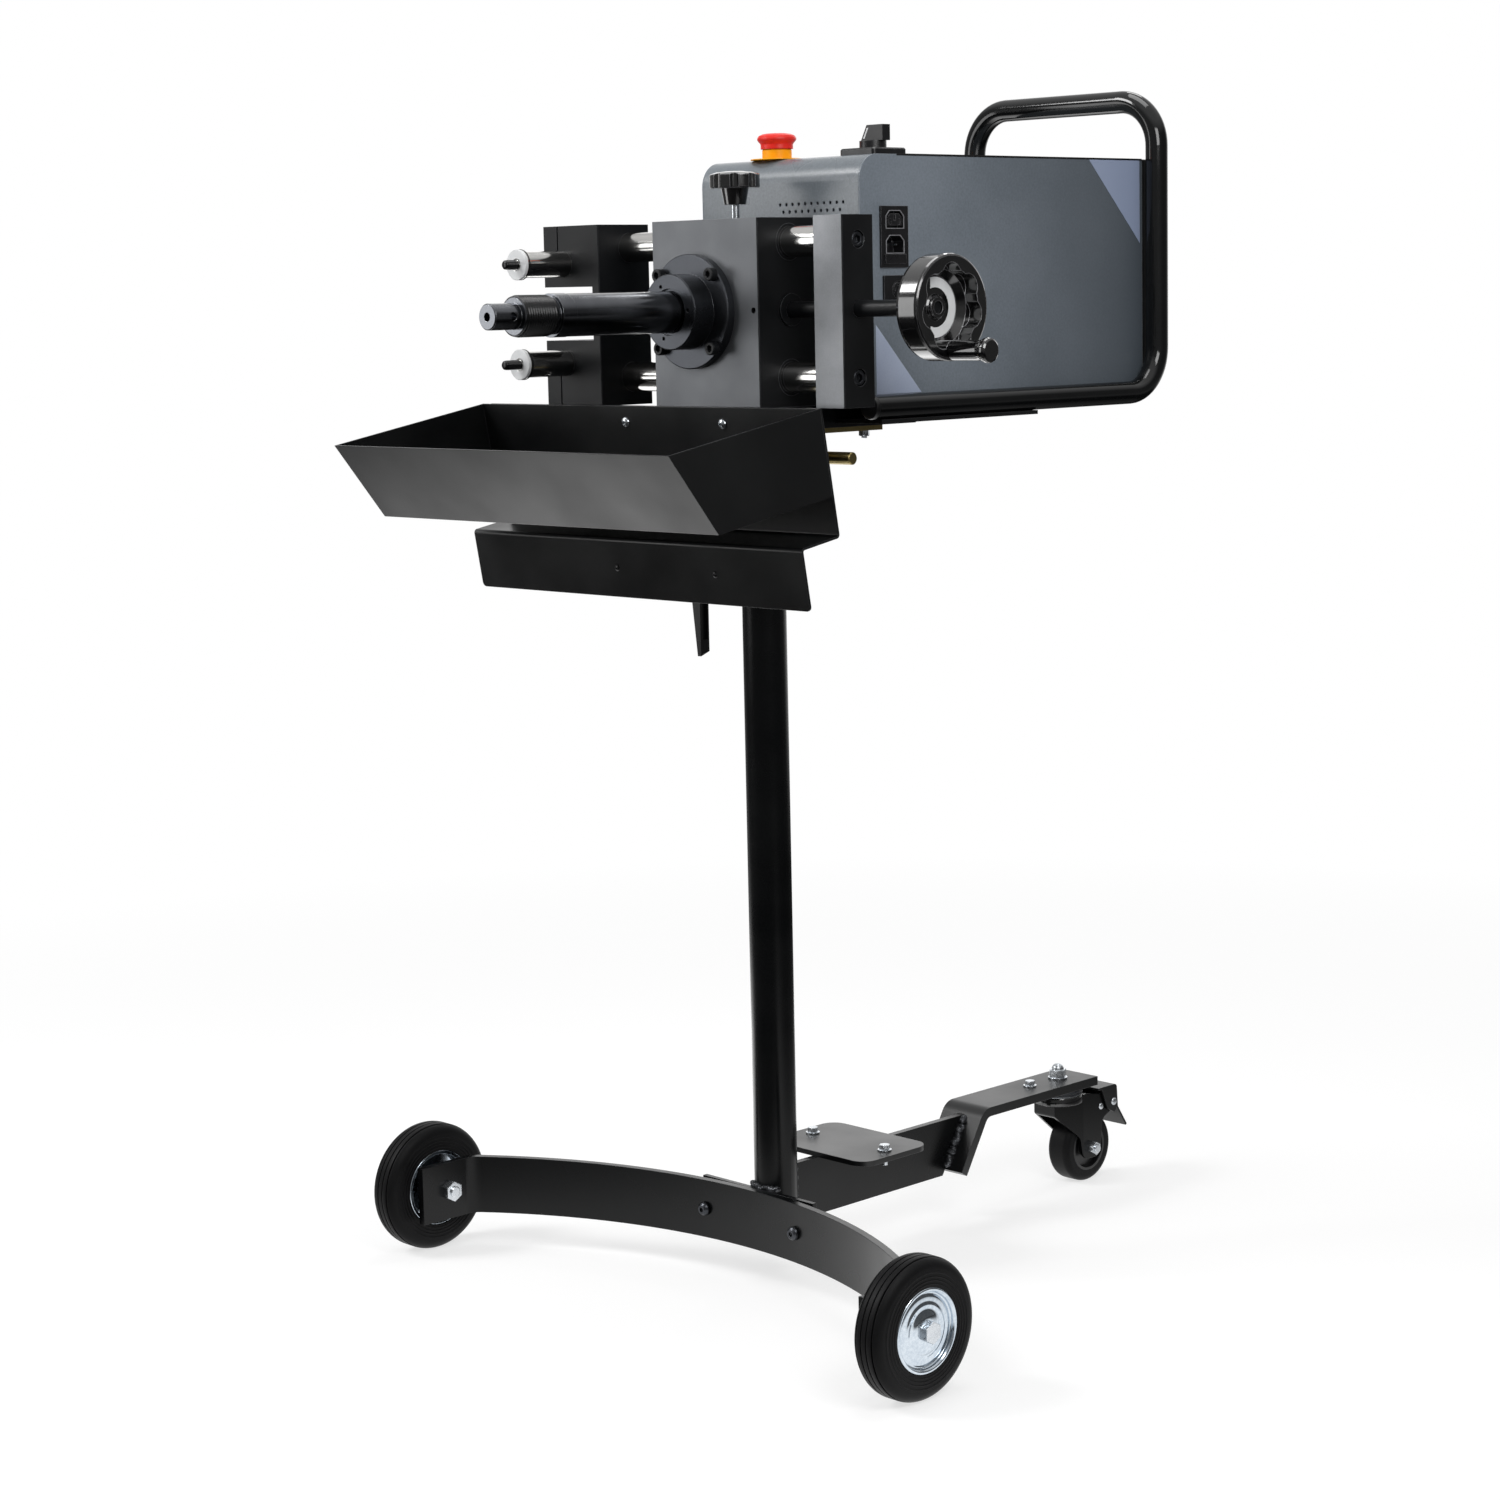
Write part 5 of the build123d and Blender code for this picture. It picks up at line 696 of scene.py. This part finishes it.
# %% Floor
white_light = (1, 1, 1, 1)
paper_way = (-0.45, 0.89, 0.0)  # from the object to the white paper behind it
painted_shadow_way = (0.6, 0.8, 0.0)  # to the object's shadow on the floor, painted into its reflections
floor_mesh = bpy.data.meshes.new("studio_floor")
floor_mesh.from_pydata([(-14, -14, 0), (14, -14, 0), (14, 14, 0), (-14, 14, 0)], [], [(0, 1, 2, 3)])
floor = bpy.data.objects.new("studio_floor", floor_mesh)
bpy.context.scene.collection.objects.link(floor)
floor_paint = bpy.data.materials.new("matt_white_studio_floor")
floor_paint.use_nodes = True
tree = floor_paint.node_tree
tree.nodes.clear()
floor_mesh.materials.append(floor_paint)
print("floor", floor_paint.name)

# %% The floor for the camera
# Near the object it is a dull white that keeps the shadow, and from 2.4 m on it is plain white.
path = put(tree, "ShaderNodeLightPath")
spot = put(tree, "ShaderNodeTexCoord").outputs["Object"]
where = put(tree, "ShaderNodeSeparateXYZ", {0: spot})
away = put(tree, "ShaderNodeVectorMath", {0: spot}, operation="LENGTH").outputs["Value"]
matt = put(tree, "ShaderNodeBsdfDiffuse", {"Color": linear("#a8a8a8")})
glow = put(tree, "ShaderNodeEmission", {"Color": white_light, "Strength": 0.66})
white = put(tree, "ShaderNodeEmission", {"Color": white_light, "Strength": 1.0})
lit = put(tree, "ShaderNodeAddShader", {0: matt.outputs[0], 1: glow.outputs[0]})
far_white = put(tree, "ShaderNodeMapRange", {0: away, 1: 0.9, 2: 2.4})
seen = put(tree, "ShaderNodeMixShader", {0: far_white.outputs[0], 1: lit.outputs[0], 2: white.outputs[0]})
print("floor for the camera", len(tree.nodes), "nodes")

# %% The floor in reflections
# Levels: bright within 1.1 m, dark in front, dark at the right rear as a painted shadow of the object, brighter
# on the left, and from 3 m on the white paper that sweeps up behind.
near = put(tree, "ShaderNodeMapRange", {0: away, 1: 1.1, 2: 1.8, 3: 1.25, 4: 0.15})
bearing = put(tree, "ShaderNodeVectorMath", {0: spot}, operation="NORMALIZE").outputs["Vector"]
to_paper = put(tree, "ShaderNodeVectorMath", {0: bearing, 1: paper_way}, operation="DOT_PRODUCT").outputs["Value"]
sweep = put(tree, "ShaderNodeMapRange", {0: to_paper, 1: 0.7, 2: 0.92, 3: 0.15, 4: 0.95})
far = put(tree, "ShaderNodeMapRange", {0: away, 1: 3.0, 2: 5.0})
front = put(tree, "ShaderNodeMapRange", {0: where.outputs["Y"], 1: -0.6, 2: -0.35, 3: 0.08, 4: 1.0})
# Painted shadow: the floor's reflection darkens towards the right rear, where the object's shadow falls.
to_painted_shadow = put(tree, "ShaderNodeVectorMath", {0: spot, 1: painted_shadow_way}, operation="DOT_PRODUCT").outputs["Value"]
painted_shade = put(tree, "ShaderNodeMapRange", {0: to_painted_shadow, 1: 0.25, 2: 0.75, 3: 1.0, 4: 0.1})
left = put(tree, "ShaderNodeMapRange", {0: where.outputs["X"], 1: -0.8, 2: -0.4, 3: 2.2, 4: 1.0})
paper = put(tree, "ShaderNodeMath", {0: near.outputs[0], 1: front.outputs[0]}, operation="MULTIPLY")
under = put(tree, "ShaderNodeMath", {0: paper.outputs[0], 1: painted_shade.outputs[0]}, operation="MULTIPLY")
close = put(tree, "ShaderNodeMath", {0: under.outputs[0], 1: left.outputs[0]}, operation="MULTIPLY")
mirrored = put(tree, "ShaderNodeMix", {0: far.outputs[0], 2: close.outputs[0], 3: sweep.outputs[0]})
shown = put(tree, "ShaderNodeEmission", {"Color": white_light, "Strength": mirrored.outputs[0]})
gloss = put(tree, "ShaderNodeMixShader",
            {0: path.outputs["Is Glossy Ray"], 1: matt.outputs[0], 2: shown.outputs[0]})
whole = put(tree, "ShaderNodeMixShader",
            {0: path.outputs["Is Camera Ray"], 1: gloss.outputs[0], 2: seen.outputs[0]})
put(tree, "ShaderNodeOutputMaterial", {"Surface": whole.outputs[0]})
print("floor with reflections", len(tree.nodes), "nodes")

# %% World
right_way = (0.71, 0.7, 0.0)  # to the dark right side of the room
world = bpy.data.worlds.new("white_studio")
bpy.context.scene.world = world
world.use_nodes = True
tree = world.node_tree
tree.nodes.clear()
path = put(tree, "ShaderNodeLightPath")
way = put(tree, "ShaderNodeTexCoord").outputs["Generated"]
to_paper = put(tree, "ShaderNodeVectorMath", {0: way, 1: paper_way}, operation="DOT_PRODUCT").outputs["Value"]
paper = put(tree, "ShaderNodeMapRange", {0: to_paper, 1: 0.6, 2: 0.92, 3: 0.24, 4: 1.5})
to_right = put(tree, "ShaderNodeVectorMath", {0: way, 1: right_way}, operation="DOT_PRODUCT").outputs["Value"]
dark = put(tree, "ShaderNodeMapRange", {0: to_right, 1: 0.4, 2: 0.9, 3: 1.0, 4: 0.45})
sides = put(tree, "ShaderNodeMath", {0: paper.outputs[0], 1: dark.outputs[0]}, operation="MULTIPLY")
height = put(tree, "ShaderNodeSeparateXYZ", {0: way}).outputs["Z"]
ceiling = put(tree, "ShaderNodeMapRange", {0: height, 1: 0.3, 2: 0.7, 3: 0.0, 4: 0.8})
room = put(tree, "ShaderNodeMath", {0: sides.outputs[0], 1: ceiling.outputs[0]}, operation="MAXIMUM")
mirror = put(tree, "ShaderNodeMix", {0: path.outputs["Is Glossy Ray"], 2: 0.4, 3: room.outputs[0]})
clear = put(tree, "ShaderNodeMath", {0: path.outputs["Is Camera Ray"], 1: path.outputs["Is Transmission Ray"]},
            operation="MAXIMUM")
strength = put(tree, "ShaderNodeMix", {0: clear.outputs[0], 2: mirror.outputs[0], 3: 1.0})
sky = put(tree, "ShaderNodeBackground", {"Color": white_light, "Strength": strength.outputs[0]})
put(tree, "ShaderNodeOutputWorld", {"Surface": sky.outputs[0]})
print("world", world.name)


# %% Lamps
def posed(side, up, back, spot):
    """A matrix with three axes and a place as its columns."""
    axes = np.stack([side, up, back], axis=-1)
    return Matrix([(*row, place) for row, place in zip(axes, spot)] + [(0, 0, 0, 1)])


def lamp(name, spot, aim, width, height, watts):
    """Area lamp at a spot, upright and turned so that its -Z axis runs to the aim; sizes in metres."""
    light = bpy.data.lights.new(name, "AREA")
    light.shape = "RECTANGLE"
    light.size = width
    light.size_y = height
    light.energy = watts
    back = unit(np.array(spot) - np.array(aim))
    side = unit(np.cross((0, 0, 1), back))
    made = bpy.data.objects.new(name, light)
    made.matrix_world = posed(side, np.cross(back, side), back, spot)
    bpy.context.scene.collection.objects.link(made)
    print(name, watts, "W")


lamp("key_lamp", (-1.9, -2.3, 3.0), (0, 0, 0.7), 1.1, 1.1, 54)
lamp("top_lamp", (0.0, 0.2, 3.0), (0, 0, 0.7), 1.2, 1.2, 18)
lamp("front_lamp", (-1.0, -1.25, 1.05), (0, -0.15, 1.0), 0.6, 0.9, 5)
lamp("rear_strip", (-0.5, 1.3, 2.4), (0, 0, 1.0), 0.5, 0.25, 2.5)
lamp("fill_lamp", (1.5, -0.6, 1.65), (0.1, 0.0, 0.95), 0.8, 0.8, 14)

# %% [markdown]
# ## Camera
# The camera was fitted to measured points of the photograph: place, turn, tilt, a small roll and a long
# lens. The view direction is built from the angles, then the roll turns the picture about it.

# %% Camera
turn, tilt, roll = np.radians([45.827, 8.222, 1.236])
back = np.array([np.sin(turn) * np.cos(tilt), -np.cos(turn) * np.cos(tilt), np.sin(tilt)])
level = np.array([np.cos(turn), np.sin(turn), 0])
above = np.cross(back, level)
right = level * np.cos(roll) - above * np.sin(roll)
up = level * np.sin(roll) + above * np.cos(roll)
eye = bpy.data.cameras.new("photo_camera")
focal_px, image_px, sensor_mm = 3154.77, 1500, 36
eye.sensor_width = sensor_mm
eye.lens = focal_px / image_px * sensor_mm
eye.clip_end = 50
camera = bpy.data.objects.new("photo_camera", eye)
camera.matrix_world = posed(right, up, back, (2.275987, -2.340718, 1.017528))
bpy.context.scene.collection.objects.link(camera)
bpy.context.scene.camera = camera
bpy.context.scene.view_settings.view_transform = "Standard"
print("lens", round(eye.lens, 2), "mm")
